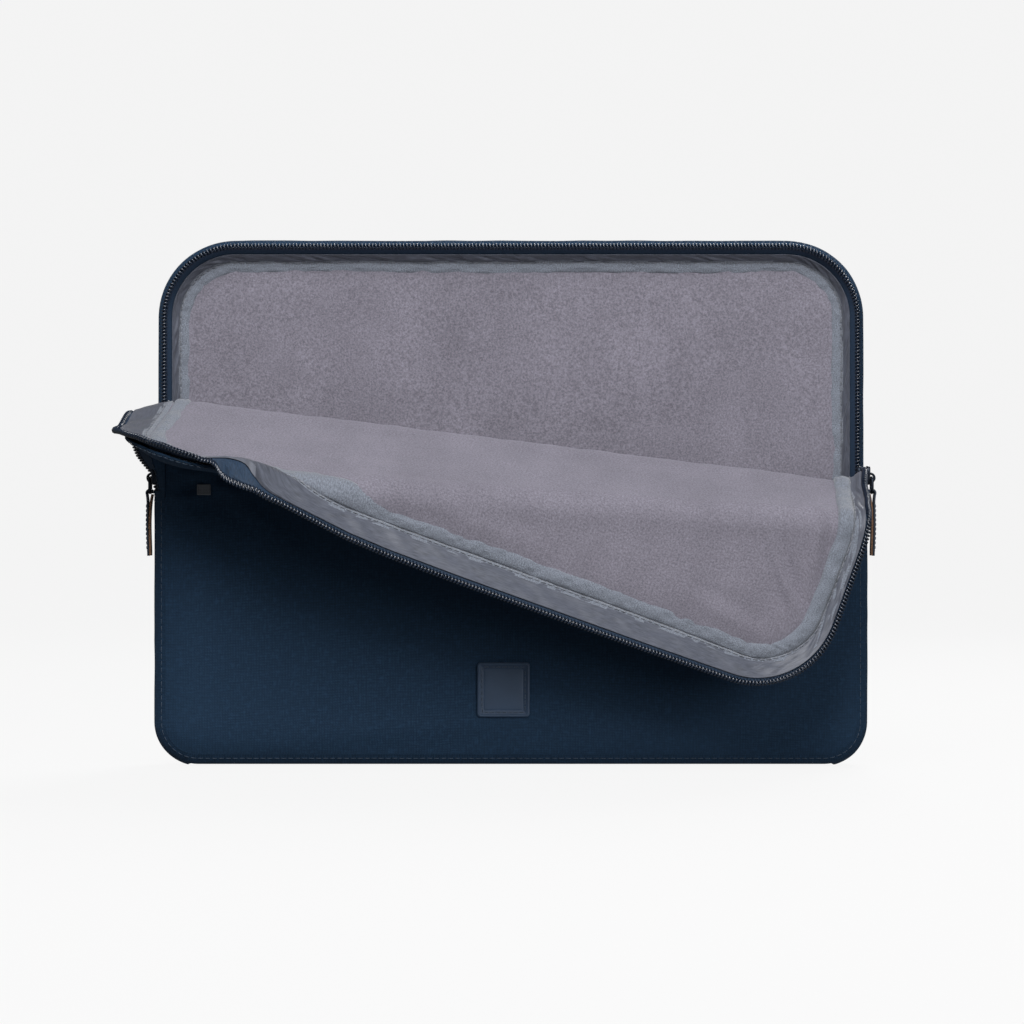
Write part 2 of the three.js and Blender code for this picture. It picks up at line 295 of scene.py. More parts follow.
def canvas_material(name, base=(0.0108, 0.0295, 0.0605)):
    s = Shader(name, 0.78, 0.16, sheen=0.04, sheen_rough=0.45, sheen_tint=(0.3, 0.5, 0.8))
    height = weave_height(s, 0.62)
    dark = scaled(base, 0.62)
    light = scaled(base, 1.55)
    thread = s.mix(s.ramp(height, 0.7, 1.6), dark, light)
    warp = s.noise(1.0, 2, 0.6, stretch=(1, 1, 0.22))
    weft = s.noise(1.0, 2, 0.6, stretch=(0.22, 1, 1))
    threads = s.ramp(s.math("ADD", warp, weft), 0.8, 1.2)
    thread = s.mix(s.math("MULTIPLY", threads, 0.65), thread, s.mix(threads, scaled(base, 0.3), light))
    slub = s.noise(0.35, 4, 0.6, stretch=(1, 1, 6))
    cloudy = s.noise(0.018, 3)
    tone = s.mix(s.ramp(slub, 0.35, 0.7, 0, 0.35), thread, light)
    s.colour(s.mix(s.ramp(cloudy, 0.35, 0.7, 0, 0.3), tone, scaled(base, 1.15)))
    s.bump(height, 0.55, 0.00018)
    s.bump(s.noise(0.12, 3), 0.25, 0.0006)
    return s.material


def suede_material(name, base=(0.166, 0.157, 0.190)):
    s = Shader(name, 0.95, 0.1, sheen=0.25, sheen_rough=0.6, sheen_tint=(0.8, 0.78, 0.9))
    nap = s.noise(0.045, 4, 0.6)
    marks = s.noise(0.02, 2, 0.5, stretch=(1.6, 1, 0.6))
    fibre = s.noise(1.1, 5, 0.75)
    fleck = s.noise(2.6, 3, 0.8)
    dark = scaled(base, 0.62)
    light = scaled(base, 1.42)
    tone = s.mix(s.ramp(fibre, 0.38, 0.62), dark, light)
    tone = s.mix(s.ramp(fleck, 0.35, 0.65, 0.0, 0.35), tone, base)
    mottle = s.noise(0.32, 3, 0.6)
    shade = s.math("ADD", s.ramp(nap, 0.35, 0.65, -0.06, 0.06), s.ramp(marks, 0.4, 0.62, -0.05, 0.05))
    shade = s.math("ADD", shade, s.ramp(mottle, 0.35, 0.65, -0.05, 0.05))
    value = s.add("ShaderNodeHueSaturation", Color=tone, Value=s.math("ADD", shade, 1.0))
    s.colour(value.outputs[0])
    s.bump(fibre, 0.5, 0.0005)
    s.bump(fleck, 0.35, 0.0002)
    return s.material


def knit_material(name, base=(0.150, 0.166, 0.200)):
    s = Shader(name, 0.92, 0.15, sheen=0.3, sheen_rough=0.5)
    fuzz = s.noise(1.6, 4, 0.75)
    loops = s.noise(3.4, 2, 0.6)
    cloudy = s.noise(0.06, 3)
    tone = s.tones(fuzz, 0.36, 0.64, base, 0.5, 1.7)
    s.colour(s.mix(s.ramp(cloudy, 0.35, 0.65, 0, 0.45), tone, scaled(base, 1.1)))
    s.bump(s.math("ADD", fuzz, loops), 0.6, 0.0004)
    return s.material


def satin_material(name, base=(0.070, 0.077, 0.100)):
    s = Shader(name, 0.5, 0.45, sheen=0.1)
    thread = s.noise(2.2, 2, 0.5, stretch=(1, 1, 0.1))
    cloudy = s.noise(0.09, 3)
    tone = s.tones(thread, 0.35, 0.65, base, 0.7, 1.35)
    s.colour(s.mix(s.ramp(cloudy, 0.3, 0.7, 0, 0.5), tone, scaled(base, 1.25)))
    s.bump(thread, 0.3, 0.0002)
    return s.material


def tape_material(name, base=(0.011, 0.026, 0.052)):
    s = Shader(name, 0.66, 0.35, sheen=0.1, sheen_tint=(0.35, 0.5, 0.8))
    ribs = s.noise(2.4, 2, 0.5, stretch=(1, 0.25, 1))
    s.colour(s.tones(ribs, 0.3, 0.7, base, 0.7, 1.5))
    s.bump(ribs, 0.5, 0.0003)
    return s.material


def coil_material(name):
    s = Shader(name, 0.26, 0.9)
    wear = s.noise(0.9, 3)
    s.colour(s.mix(s.ramp(wear, 0.3, 0.7), (0.003, 0.008, 0.02), (0.006, 0.016, 0.036)))
    s.bump(wear, 0.15, 0.0002)
    return s.material


def metal_material(name):
    s = Shader(name, 0.38, 0.5, metallic=0.75)
    wear = s.noise(1.4, 4, 0.6)
    s.colour(s.mix(s.ramp(wear, 0.5, 0.75), (0.012, 0.018, 0.030), (0.05, 0.06, 0.075)))
    s.rough(s.ramp(wear, 0.3, 0.7, 0.3, 0.5))
    s.bump(wear, 0.1, 0.0002)
    return s.material


def leather_material(name, base, roughness):
    s = Shader(name, roughness, 0.4)
    grain = s.add("ShaderNodeTexVoronoi", Vector=s.cloth, Scale=1.8)
    grain.feature = "DISTANCE_TO_EDGE"
    pores = s.ramp(grain.outputs["Distance"], 0.0, 0.25)
    cloudy = s.noise(0.4, 4)
    tone = s.mix(pores, scaled(base, 0.6), base)
    s.colour(s.mix(s.ramp(cloudy, 0.3, 0.7, 0, 0.5), tone, scaled(base, 1.4)))
    s.bump(pores, 0.35, 0.0002)
    return s.material


def rubber_material(name, base=(0.024, 0.048, 0.092)):
    s = Shader(name, 0.55, 0.4)
    grain = s.noise(3.0, 3, 0.6)
    cloudy = s.noise(0.15, 2)
    s.colour(s.tones(cloudy, 0.3, 0.7, base, 0.92, 1.08))
    s.rough(s.ramp(grain, 0.3, 0.7, 0.48, 0.64))
    s.bump(grain, 0.12, 0.0001)
    return s.material


def foam_material(name):
    s = Shader(name, 0.95, 0.1)
    cells = s.add("ShaderNodeTexVoronoi", Vector=s.cloth, Scale=1.2)
    s.colour(s.mix(s.ramp(cells.outputs["Distance"], 0, 0.6), (0.35, 0.35, 0.36), (0.62, 0.62, 0.62)))
    s.bump(cells.outputs["Distance"], 0.5, 0.0004)
    return s.material


def label_material(name):
    s = Shader(name, 0.85, 0.2)
    height = weave_height(s, 0.35)
    s.colour(s.mix(s.ramp(height, 0.6, 1.6), (0.09, 0.097, 0.112), (0.22, 0.235, 0.26)))
    s.bump(height, 0.4, 0.00012)
    return s.material


def thread_material(name, base):
    s = Shader(name, 0.5, 0.4, sheen=0.2)
    twist = s.noise(2.5, 2)
    s.colour(s.tones(twist, 0.3, 0.7, base, 0.7, 1.4))
    s.bump(twist, 0.4, 0.0002)
    return s.material


LOOKS = {
    "navy_canvas": canvas_material("navy_canvas_look"),
    "suede_lining": suede_material("suede_lining_look"),
    "knit_binding": knit_material("knit_binding_look"),
    "grey_satin": satin_material("grey_satin_look"),
    "zip_tape": tape_material("zip_tape_look"),
    "zip_coil": coil_material("zip_coil_look"),
    "foam": foam_material("foam_look"),
    "slider_metal": metal_material("slider_metal_look"),
    "navy_leather": leather_material("navy_leather_look", (0.012, 0.024, 0.045), 0.5),
    "tan_leather": leather_material("tan_leather_look", (0.20, 0.11, 0.065), 0.8),
    "rubber_patch": rubber_material("rubber_patch_look"),
    "woven_label": label_material("woven_label_look"),
}
NAVY_THREAD = thread_material("navy_thread_look", (0.014, 0.034, 0.066))
GREY_THREAD = thread_material("grey_thread_look", (0.16, 0.17, 0.20))


# ---- the two creases of the flap ----


def rotated(points, pivot, axis, angles):
    """Points turned about a line, each by its own angle."""
    p = points - pivot
    c = np.cos(angles)[:, None]
    s = np.sin(angles)[:, None]
    return pivot + p * c + np.cross(axis, p) * s + (p @ axis)[:, None] * axis * (1 - c)


def smooth(t):
    t = np.clip(t, 0, 1)
    return t * t * (3 - 2 * t)


def joint(name):
    return next(j for j in frame["joints"] if j["name"] == name)


def unit(v):
    v = np.array(v, float)
    return v / np.linalg.norm(v)


class Crease:
    """One fold line: where it is when the sleeve is closed and when it is open, and how wide the bend is."""

    def __init__(self, name, before, after, half_width, before_turn):
        data = joint(name)
        self.before, self.after = before, after
        self.angle = math.radians(-data["range_deg"][0])
        self.half_width = half_width
        self.open_pivot = np.array(data["pos_m"], float) / MM
        self.open_axis = unit(data["axis"])
        one = np.ones(1)
        self.pivot = before_turn(self.open_pivot[None], -one)[0]
        self.axis = before_turn((self.open_pivot + self.open_axis)[None], -one)[0] - self.pivot
        self.up = unit([-self.axis[2], 0, self.axis[0]])       # in the closed panel, away from the fixed part
        middle = rotated((self.pivot + self.up)[None], self.pivot, self.axis, np.array([self.angle / 2]))
        self.across = before_turn(middle, one)[0] - before_turn(self.pivot[None], one)[0]

    def solve(self, points, deepest):
        """The share of the fold at each closed point, by which turn() rotates it about the crease."""
        height = (points - self.pivot) @ self.up
        depth = np.minimum(points[:, 1] - self.pivot[1], deepest)
        low = np.zeros(len(points))
        high = np.ones(len(points))
        for _ in range(36):
            w = (low + high) / 2
            lean = (w - 0.5) * self.angle
            t = 0.5 + (height * np.cos(lean) + depth * np.sin(lean)) / (2 * self.half_width)
            rising = smooth(t) > w
            low = np.where(rising, w, low)
            high = np.where(rising, high, w)
        return (low + high) / 2

    def turn(self, points, share):
        return rotated(points, self.pivot, self.axis, share * self.angle)

    def blend(self, piece):
        """Bakes the piece's transform into its mesh; the piece is already drawn opened and is not tied to the
        joint's two bodies.
        """
        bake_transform(piece)


def unturned(points, share):
    """What the lower crease does before it turns: nothing, because it is hinged on the fixed body."""
    return points


LOWER = Crease("flap_fold", "sleeve_body", "flap_lower", 14.0, unturned)
UPPER = Crease("flap_curl", "flap_lower", "flap_upper", 11.0, LOWER.turn)
DEEPEST = (9.0, 11.0)      # beyond these depths the fold would tear, so the cloth there bunches instead
SPLIT = (205.0, 151.5)     # heights, left and right, of the line between the lower and the upper pieces


def above_split(points):
    line = SPLIT[0] + (SPLIT[1] - SPLIT[0]) * (points[:, 0] + W) / (2 * W)
    return points[:, 2] > line


def opened(points, hold=None):
    """Closed points of the front half, moved to the open sleeve.
    hold, from 0 to 1, keeps points on the fixed part."""
    flat = points.reshape(-1, 3)
    upper = above_split(flat)
    keep = 1.0 if hold is None else 1.0 - hold.reshape(-1)
    low_share = np.where(upper, 1.0, LOWER.solve(flat, DEEPEST[0])) * keep
    high_share = np.where(upper, UPPER.solve(flat, DEEPEST[1]), 0.0)
    return LOWER.turn(UPPER.turn(flat, high_share), low_share).reshape(points.shape)


# ---- the sleeve's outline ----


def rim_distance(x, z):
    """How far a point lies inside the sleeve's outline."""
    radius = np.where(z > H / 2, TOP_R, BOTTOM_R)
    dx = np.abs(x) - (W - radius)
    dz = np.abs(z - H / 2) - (H / 2 - radius)
    outside = np.hypot(np.maximum(dx, 0), np.maximum(dz, 0))
    return radius - outside - np.minimum(np.maximum(dx, dz), 0)


def half_width(z, inset):
    """Half the width of the outline at height z, inset by a distance."""
    radius = np.where(z > H / 2, TOP_R, BOTTOM_R)
    corner = np.abs(z - H / 2) - (H / 2 - radius)
    reach = np.sqrt(np.maximum((radius - inset) ** 2 - np.maximum(corner, 0) ** 2, 0))
    return W - radius + np.where(corner > 0, reach, radius - inset)


def outline_loop(step=0.5):
    """The outline from the middle of the base, clockwise seen from the front.
    Gives the distance along it, the point and the normal."""
    points, normals = [], []

    def line(a, b, n):
        count = max(2, int(np.hypot(b[0] - a[0], b[1] - a[1]) / step))
        for t in np.arange(count) / count:
            points.append((a[0] + (b[0] - a[0]) * t, a[1] + (b[1] - a[1]) * t))
            normals.append(n)

    def arc(cx, cz, r, a0, a1):
        count = max(2, int(abs(a1 - a0) * r / step))
        for t in np.arange(count) / count:
            a = a0 + (a1 - a0) * t
            points.append((cx + r * math.cos(a), cz + r * math.sin(a)))
            normals.append((math.cos(a), math.sin(a)))

    half, quarter = math.pi, math.pi / 2
    line((0, 0), (-W + BOTTOM_R, 0), (0, -1))
    arc(-W + BOTTOM_R, BOTTOM_R, BOTTOM_R, 3 * quarter, half)
    line((-W, BOTTOM_R), (-W, H - TOP_R), (-1, 0))
    arc(-W + TOP_R, H - TOP_R, TOP_R, half, quarter)
    line((-W + TOP_R, H), (W - TOP_R, H), (0, 1))
    arc(W - TOP_R, H - TOP_R, TOP_R, quarter, 0)
    line((W, H - TOP_R), (W, BOTTOM_R), (1, 0))
    arc(W - BOTTOM_R, BOTTOM_R, BOTTOM_R, 0, -quarter)
    line((W - BOTTOM_R, 0), (0, 0), (0, -1))
    points.append((0, 0))
    normals.append((0, -1))
    p, n = np.array(points), np.array(normals)
    along = np.concatenate([[0], np.cumsum(np.hypot(*(p[1:] - p[:-1]).T))])
    return along, p, n


ALONG, RIM, RIM_NORMAL = outline_loop()
LOOP = ALONG[-1]
LEFT_END = (W - BOTTOM_R) + BOTTOM_R * math.pi / 2 + (ZIP_END - BOTTOM_R)
RIGHT_END = LOOP - LEFT_END


def rim_at(s):
    s = np.mod(s, LOOP)
    point = np.stack([np.interp(s, ALONG, RIM[:, i]) for i in (0, 1)], -1)
    normal = np.stack([np.interp(s, ALONG, RIM_NORMAL[:, i]) for i in (0, 1)], -1)
    return point, normal / np.linalg.norm(normal, axis=-1, keepdims=True)


def swept(s, profile):
    """A grid of closed points: at each distance s round the outline, the profile's (inset, depth) points.
    profile is an array (n, 2), or (len(s), n, 2) where it changes along the way."""
    point, normal = rim_at(s)
    profile = np.broadcast_to(profile, (len(s),) + profile.shape[-2:])
    x = point[:, None, 0] - normal[:, None, 0] * profile[..., 0]
    z = point[:, None, 1] - normal[:, None, 1] * profile[..., 0]
    return np.stack([x, profile[..., 1], z], -1)


# ---- meshes ----


def grid_normals(grid):
    du = np.gradient(grid, axis=0)
    dv = np.gradient(grid, axis=1)
    n = np.cross(dv, du)
    return n / np.maximum(np.linalg.norm(n, axis=-1, keepdims=True), 1e-9)


def new_object(name, vertices, faces, material, cloth=None):
    mesh = bpy.data.meshes.new(name)
    mesh.from_pydata([tuple(v) for v in np.asarray(vertices) * MM], [], [tuple(map(int, f)) for f in faces])
    mesh.validate()
    mesh.materials.append(material)
    places = np.asarray(vertices if cloth is None else cloth, np.float32)
    attribute = mesh.attributes.new("cloth", "FLOAT_VECTOR", "POINT")
    attribute.data.foreach_set("vector", places.ravel())
    mesh.polygons.foreach_set("use_smooth", [True] * len(mesh.polygons))
    mesh.update()
    piece = bpy.data.objects.new(name, mesh)
    bpy.context.collection.objects.link(piece)
    return piece


def shell(name, top, under, material, cloth, keep=None):
    """A closed sheet between two grids of the same size. keep says which cells of the grid are in it.
    Its shading normals come from the whole grid, so neighbours cut from one grid shade as one."""
    rows, cols = top.shape[:2]
    index = np.arange(rows * cols).reshape(rows, cols)
    cells = np.stack([index[:-1, :-1], index[:-1, 1:], index[1:, 1:], index[1:, :-1]], -1)
    chosen = np.ones((rows - 1, cols - 1), bool) if keep is None else keep
    cells = cells[chosen]
    total = rows * cols
    edges = np.concatenate([cells[:, [i, (i + 1) % 4]] for i in range(4)])
    keys = edges[:, 0].astype(np.int64) * total + edges[:, 1]
    reverse = edges[:, 1].astype(np.int64) * total + edges[:, 0]
    rim = edges[~np.isin(keys, reverse)]
    walls = np.stack([rim[:, 1], rim[:, 0], rim[:, 0] + total, rim[:, 1] + total], -1)
    faces = np.concatenate([cells, cells[:, ::-1] + total, walls])
    normals = np.concatenate([grid_normals(top).reshape(-1, 3), -grid_normals(under).reshape(-1, 3)])
    points = np.concatenate([top.reshape(-1, 3), under.reshape(-1, 3)])
    places = np.concatenate([cloth.reshape(-1, 3)] * 2)
    used = np.unique(faces)
    new_index = np.zeros(2 * total, int)
    new_index[used] = np.arange(len(used))
    piece = new_object(name, points[used], new_index[faces], material, places[used])
    mesh = piece.data
    loops = np.zeros(len(mesh.loops), int)
    mesh.loops.foreach_get("vertex_index", loops)
    loop_normals = normals[used][loops]
    wall_start = 4 * 2 * len(cells)
    if len(walls):
        corner = points[walls]
        face_normal = np.cross(corner[:, 1] - corner[:, 0], corner[:, 3] - corner[:, 0])
        face_normal /= np.maximum(np.linalg.norm(face_normal, axis=1, keepdims=True), 1e-9)
        loop_normals[wall_start:] = np.repeat(face_normal, 4, axis=0)
    mesh.normals_split_custom_set([tuple(n) for n in loop_normals])
    return piece


def ring_faces(rings, n, closed=False):
    """Faces between neighbouring rings of n points. A closed one also joins the last ring to the first."""
    faces = []
    for i in range(rings if closed else rings - 1):
        a, b = i * n, (i + 1) % rings * n
        faces += [(a + k, a + (k + 1) % n, b + (k + 1) % n, b + k) for k in range(n)]
    return faces


def caps(rings, n):
    """The faces that close the first and the last ring."""
    return tuple(range(n))[::-1], tuple(range((rings - 1) * n, rings * n))


def tube_mesh(path, radius, sides=6):
    """Vertices and faces of a round tube along a path, closed at both ends."""
    path = np.asarray(path, float)
    tangent = np.gradient(path, axis=0)
    tangent /= np.maximum(np.linalg.norm(tangent, axis=1, keepdims=True), 1e-9)
    side = np.cross(tangent, np.array([0.31, 0.83, 0.47]))
    side /= np.linalg.norm(side, axis=1, keepdims=True)
    other = np.cross(tangent, side)
    turn = 2 * math.pi * np.arange(sides) / sides
    ring = np.cos(turn)[None, :, None] * side[:, None] + np.sin(turn)[None, :, None] * other[:, None]
    vertices = (path[:, None] + ring * radius).reshape(-1, 3)
    return vertices, [*ring_faces(len(path), sides), *caps(len(path), sides)]


def merged(parts):
    """Several (vertices, faces) as one."""
    vertices, faces, start = [], [], 0
    for v, f in parts:
        vertices.append(v)
        faces += [tuple(i + start for i in face) for face in f]
        start += len(v)
    return np.concatenate(vertices), faces


# ---- placing pieces ----


def soft_noise(u, v, size, seed):
    """Smooth noise from -1 to 1 over a plane, with features of the given size."""
    table = np.random.default_rng(seed).uniform(-1, 1, (64, 64))
    u, v = np.asarray(u) / size, np.asarray(v) / size
    iu, iv = np.floor(u).astype(int), np.floor(v).astype(int)
    fu, fv = u - iu, v - iv
    fu, fv = fu * fu * (3 - 2 * fu), fv * fv * (3 - 2 * fv)
    a, b = table[iu % 64, iv % 64], table[(iu + 1) % 64, iv % 64]
    c, d = table[iu % 64, (iv + 1) % 64], table[(iu + 1) % 64, (iv + 1) % 64]
    return (a * (1 - fu) + b * fu) * (1 - fv) + (c * (1 - fu) + d * fu) * fv


def cell_middle(grid):
    return (grid[:-1, :-1] + grid[1:, :-1] + grid[:-1, 1:] + grid[1:, 1:]) / 4


def cell_area(grid):
    u = grid[1:, :-1] - grid[:-1, :-1]
    v = grid[:-1, 1:] - grid[:-1, :-1]
    return np.linalg.norm(np.cross(u, v), axis=-1)


def declare_cloth(closed, keep, width, open_grid=None):
    """Works out a sheet's area, sized on the closed sleeve; nothing further is done with the area.
    A strip's length is the one that gives its area. A strip that is drawn out where it turns over is cut
    between its closed and its open size."""
    area = float((cell_area(closed) * keep).sum())
    if width is not None and open_grid is not None:
        area = (area + float((cell_area(open_grid) * keep).sum())) / 2


def fixed_shell(name, top, under, material, nodes, cloth=None, width=None, on=(), soft="sheet"):
    """A layer that stays with the sleeve's body."""
    piece = shell(name, top, under, LOOKS[material], top if cloth is None else cloth)
    finish_piece(piece, "sleeve_body", nodes)
    if soft == "sheet":
        declare_cloth(top, np.ones(np.array(top.shape[:2]) - 1, bool), width)


def finish_piece(piece, holder, nodes):
    """holder is the body that carries the piece, or the crease the piece was opened about, which only bakes
    its transform.
    """
    if isinstance(holder, Crease):
        holder.blend(piece)
    else:
        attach(piece, holder)
    if nodes:
        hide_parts(*nodes)


def halves(nodes):
    """A front layer's two pieces: word in the name, whether above the split, crease and CAD nodes."""
    return ("lower", False, LOWER, nodes[0]), ("upper", True, UPPER, nodes[1])


def unrolled(closed, open_grid):
    """Cloth coordinates of a folded panel, measured along the cloth so that a bend doesn't stretch them."""
    steps = np.linalg.norm(np.diff(open_grid, axis=0), axis=-1)
    along = np.concatenate([np.zeros((1, steps.shape[1])), np.cumsum(steps, 0)])
    return np.stack([closed[..., 0], np.zeros_like(along), along], -1)


def folded_shell(name, top, under, material, nodes, cloth=None, width=None, on=(), soft="sheet",
                 hold=None):
    """A layer of the front, cut into the pieces that bend at the lower and at the upper crease.
    nodes are the CAD nodes that each piece stands for."""
    middle = cell_middle(top)
    upper = above_split(middle.reshape(-1, 3)).reshape(middle.shape[:2])
    open_top, open_under = opened(top, hold), opened(under, hold)
    cloth = unrolled(top, open_top) if cloth is None else cloth
    for word, is_upper, crease, stands_for in halves(nodes):
        keep = upper == is_upper
        piece = shell(f"{name}_{word}", open_top, open_under, LOOKS[material], cloth, keep)
        finish_piece(piece, crease, stands_for)
        if soft == "sheet":
            declare_cloth(top, keep, width, open_top)


def folded_mesh(name, vertices, faces, material, nodes=((), ()), hold=None, closed=None):
    """Small things on the front, such as stitches and coils, cut and bent in the same way.
    Where closed is given, the vertices are already open, and closed has their places on the closed sleeve."""
    vertices = np.asarray(vertices)
    moved = opened(vertices, hold) if closed is None else vertices
    vertices = vertices if closed is None else closed
    look = LOOKS[material] if isinstance(material, str) else material
    side = above_split(vertices[np.array([face[0] for face in faces])])
    for word, is_upper, crease, stands_for in halves(nodes):
        chosen = [face for face, upper in zip(faces, side) if upper == is_upper]
        if not chosen:
            continue
        used = np.unique([i for face in chosen for i in face])
        index = np.zeros(len(vertices), int)
        index[used] = np.arange(len(used))
        new_faces = [[index[i] for i in face] for face in chosen]
        piece = new_object(f"{name}_{word}", moved[used], new_faces, look, vertices[used])
        finish_piece(piece, crease, stands_for)


def fixed_mesh(name, parts, material, body="sleeve_body", nodes=()):
    vertices, faces = merged(parts) if isinstance(parts, list) else parts
    look = LOOKS[material] if isinstance(material, str) else material
    finish_piece(new_object(name, vertices, faces, look), body, nodes)


def stitch(a, b, radius, lift):
    """One stitch: a thread from a to b that rises a little between its two holes."""
    t = np.linspace(0, 1, 6)[:, None]
    return tube_mesh(a + (b - a) * t + lift * np.sin(math.pi * t), radius, 5)


def stitch_row(points, outward, length=2.4, gap=0.9, radius=0.24, lift=0.22):
    """Stitches along a line of points. They stand out in one direction, or in one for each point."""
    points = np.asarray(points, float)
    outward = np.broadcast_to(np.asarray(outward, float), points.shape)
    along = np.concatenate([[0], np.cumsum(np.linalg.norm(np.diff(points, axis=0), axis=1))])
    starts = np.arange(gap, along[-1] - length, length + gap)

    def at(s, table):
        return np.array([np.interp(s, along, table[:, i]) for i in range(3)])

    parts = []
    for s in starts:
        n = at(s + length / 2, outward)
        parts.append(stitch(at(s, points) + n * 0.02, at(s + length, points) + n * 0.02, radius, n * lift))
    return parts


# ---- panels ----


def panel_grid(inset, step=GRID):
    """A grid over the inset outline: x and z of each point, in rows from the base to the top."""
    low, high = inset, H - inset
    bottom_r, top_r = BOTTOM_R - inset, TOP_R - inset

    def arc(r):
        return r * (1 - np.cos(np.linspace(0, math.pi / 2, max(4, int(1.4 * r / step)))))

    middle = np.linspace(low + bottom_r, high - top_r, int((high - low - bottom_r - top_r) / step))[1:-1]
    rows = np.concatenate([low + arc(bottom_r), middle, (high - arc(top_r))[::-1]])
    cols = np.linspace(-1, 1, int(2 * W / step))
    cols = np.sin(cols * math.pi / 2) * 0.25 + cols * 0.75
    half = half_width(rows, inset)
    return cols[None] * half[:, None], np.repeat(rows[:, None], len(cols), 1)


def crown(x, z, inset, reach, power=2.4):
    """0 at the inset line, rising to 1 well inside it."""
    d = np.clip((rim_distance(x, z) - inset) / reach, 0, 1)
    return 1 - (1 - d) ** power


CRUMPLES = (    # centre, lean, half length, half width and height of each soft fold beside the left crease
    (-148, 139, 0.25, 17, 3.0, 1.5), (-139, 133, -0.35, 13, 2.6, 1.2), (-152, 127, 0.1, 12, 2.4, 1.1),
    (-126, 122, -0.6, 20, 4.0, 1.1), (-150, 116, -0.9, 16, 3.4, 0.9), (-118, 108, -0.5, 24, 6.0, 0.9),
    (120, 70, -1.2, 30, 6.0, 0.7), (139, 92, -1.25, 24, 5.0, 0.8), (-40, 18, 0.1, 60, 5.0, 0.5),
)


def crumples(x, z, folds):
    """The height of soft folds, each with a shallow hollow beside it."""
    total = np.zeros_like(x)
    for cx, cz, lean, long, wide, high in folds:
        u = (x - cx) * math.cos(lean) + (z - cz) * math.sin(lean)
        v = -(x - cx) * math.sin(lean) + (z - cz) * math.cos(lean)
        total = total + high * np.exp(-(u / long) ** 2 - (v / wide) ** 2)
        total = total - 0.7 * high * np.exp(-(u / long) ** 2 - ((v + 2 * wide) / wide) ** 2)
    return total


def canvas_depth(x, z, seed):
    c = crown(x, z, INSET, 18)
    ripple = 0.32 * soft_noise(x, z, 46, seed) + 0.12 * soft_noise(x, z, 17, seed + 1)
    edge = 0.35 * soft_noise(x, z, 9, seed + 2) * np.clip(1 - (rim_distance(x, z) - INSET) / 9, 0, 1)
    folds = crumples(x, z, CRUMPLES) if seed == FRONT_CANVAS else 0
    return SEAM + (FACE - 0.3 - SEAM) * c + (ripple + edge + folds) * np.clip(c * 2, 0, 1)


def lining_depth(x, z, seed):
    c = crown(x, z, LINING_INSET, 16, 2.0)
    ripple = 0.55 * soft_noise(x, z, 38, seed) + 0.22 * soft_noise(x, z, 14, seed + 1)
    return LINING_EDGE - (LINING_EDGE - LINING) * c + ripple * c


def foam_depths(x, z, canvas_seed, lining_seed, gap):
    """The pad's two faces: just under the canvas, and a gap behind the lining's face."""
    outer, inner = canvas_depth(x, z, canvas_seed) - 1.2, lining_depth(x, z, lining_seed) + gap
    return np.maximum(outer, inner + 0.5), inner


LINING_FOLDS = (    # soft folds in the flap's lining near its free right corner and along its binding
    (137, 196, 0.9, 17, 2.2, 1.9), (147, 208, 0.8, 14, 2.0, 1.6), (120, 226, 0.2, 20, 3.0, 1.0),
    (-20, 226, 0.05, 40, 4.0, 0.8), (150, 176, 1.35, 20, 2.8, 1.1),
)


def layer_pair(x, z, near, far, reverse=False):
    """The two faces of a panel layer, at depths near and far."""
    faces = [np.stack([x, y, z], -1) for y in (near, far)]
    return [face[:, ::-1] for face in faces] if reverse else faces


def front_nodes(kind):
    """The CAD nodes that a front layer's lower and upper pieces stand for."""
    return (f"front_{kind}", f"flap_1_{kind}"), (f"flap_2_{kind}",)


FRONT_CANVAS, BACK_CANVAS, FRONT_LINING, BACK_LINING = 11, 21, 31, 41     # seeds of the panels' ripples


def add_panels():
    x, z = panel_grid(INSET)
    y = canvas_depth(x, z, FRONT_CANVAS)
    faces = layer_pair(x, z, -y, CANVAS_T - y)
    folded_shell("front_canvas", *faces, "navy_canvas", front_nodes("outer_panel"), on=["front_foam_lower"])
    y = canvas_depth(x, z, BACK_CANVAS)
    faces = layer_pair(x, z, y, y - CANVAS_T, True)
    fixed_shell("back_canvas", *faces, "navy_canvas", ("back_outer_panel",), on=["back_foam"])
    x, z = panel_grid(LINING_INSET)
    y = lining_depth(x, z, FRONT_LINING) - crumples(x, z, LINING_FOLDS)
    faces = layer_pair(x, z, -y, -y - LINING_T, True)
    folded_shell("front_suede", *faces, "suede_lining", front_nodes("lining"), on=["front_foam_lower"])
    y = lining_depth(x, z, BACK_LINING)
    faces = layer_pair(x, z, y, y + LINING_T)
    fixed_shell("back_suede", *faces, "suede_lining", ("back_lining",), on=["back_foam"])
    x, z = panel_grid(FOAM_INSET, FOAM_GRID)
    outer, inner = foam_depths(x, z, FRONT_CANVAS, FRONT_LINING, 2.4)
    faces = layer_pair(x, z, -outer, -inner)
    folded_shell("front_foam", *faces, "foam", front_nodes("foam_pad"), soft="padded")
    outer, inner = foam_depths(x, z, BACK_CANVAS, BACK_LINING, 1.4)
    faces = layer_pair(x, z, outer, inner, True)
    fixed_shell("back_foam", *faces, "foam", ("back_foam_pad",), soft="padded")


# ---- gusset below the zip ----


def along_cloth(s, profile):
    """Cloth coordinates of a swept layer: across it in X and along it in Z."""
    profile = np.broadcast_to(profile, (len(s),) + profile.shape[-2:])
    step = np.linalg.norm(np.diff(profile, axis=1), axis=-1)
    across = np.concatenate([np.zeros((len(s), 1)), np.cumsum(step, 1)], 1)
    return np.stack([across, np.zeros_like(across), np.broadcast_to(s[:, None], across.shape)], -1)


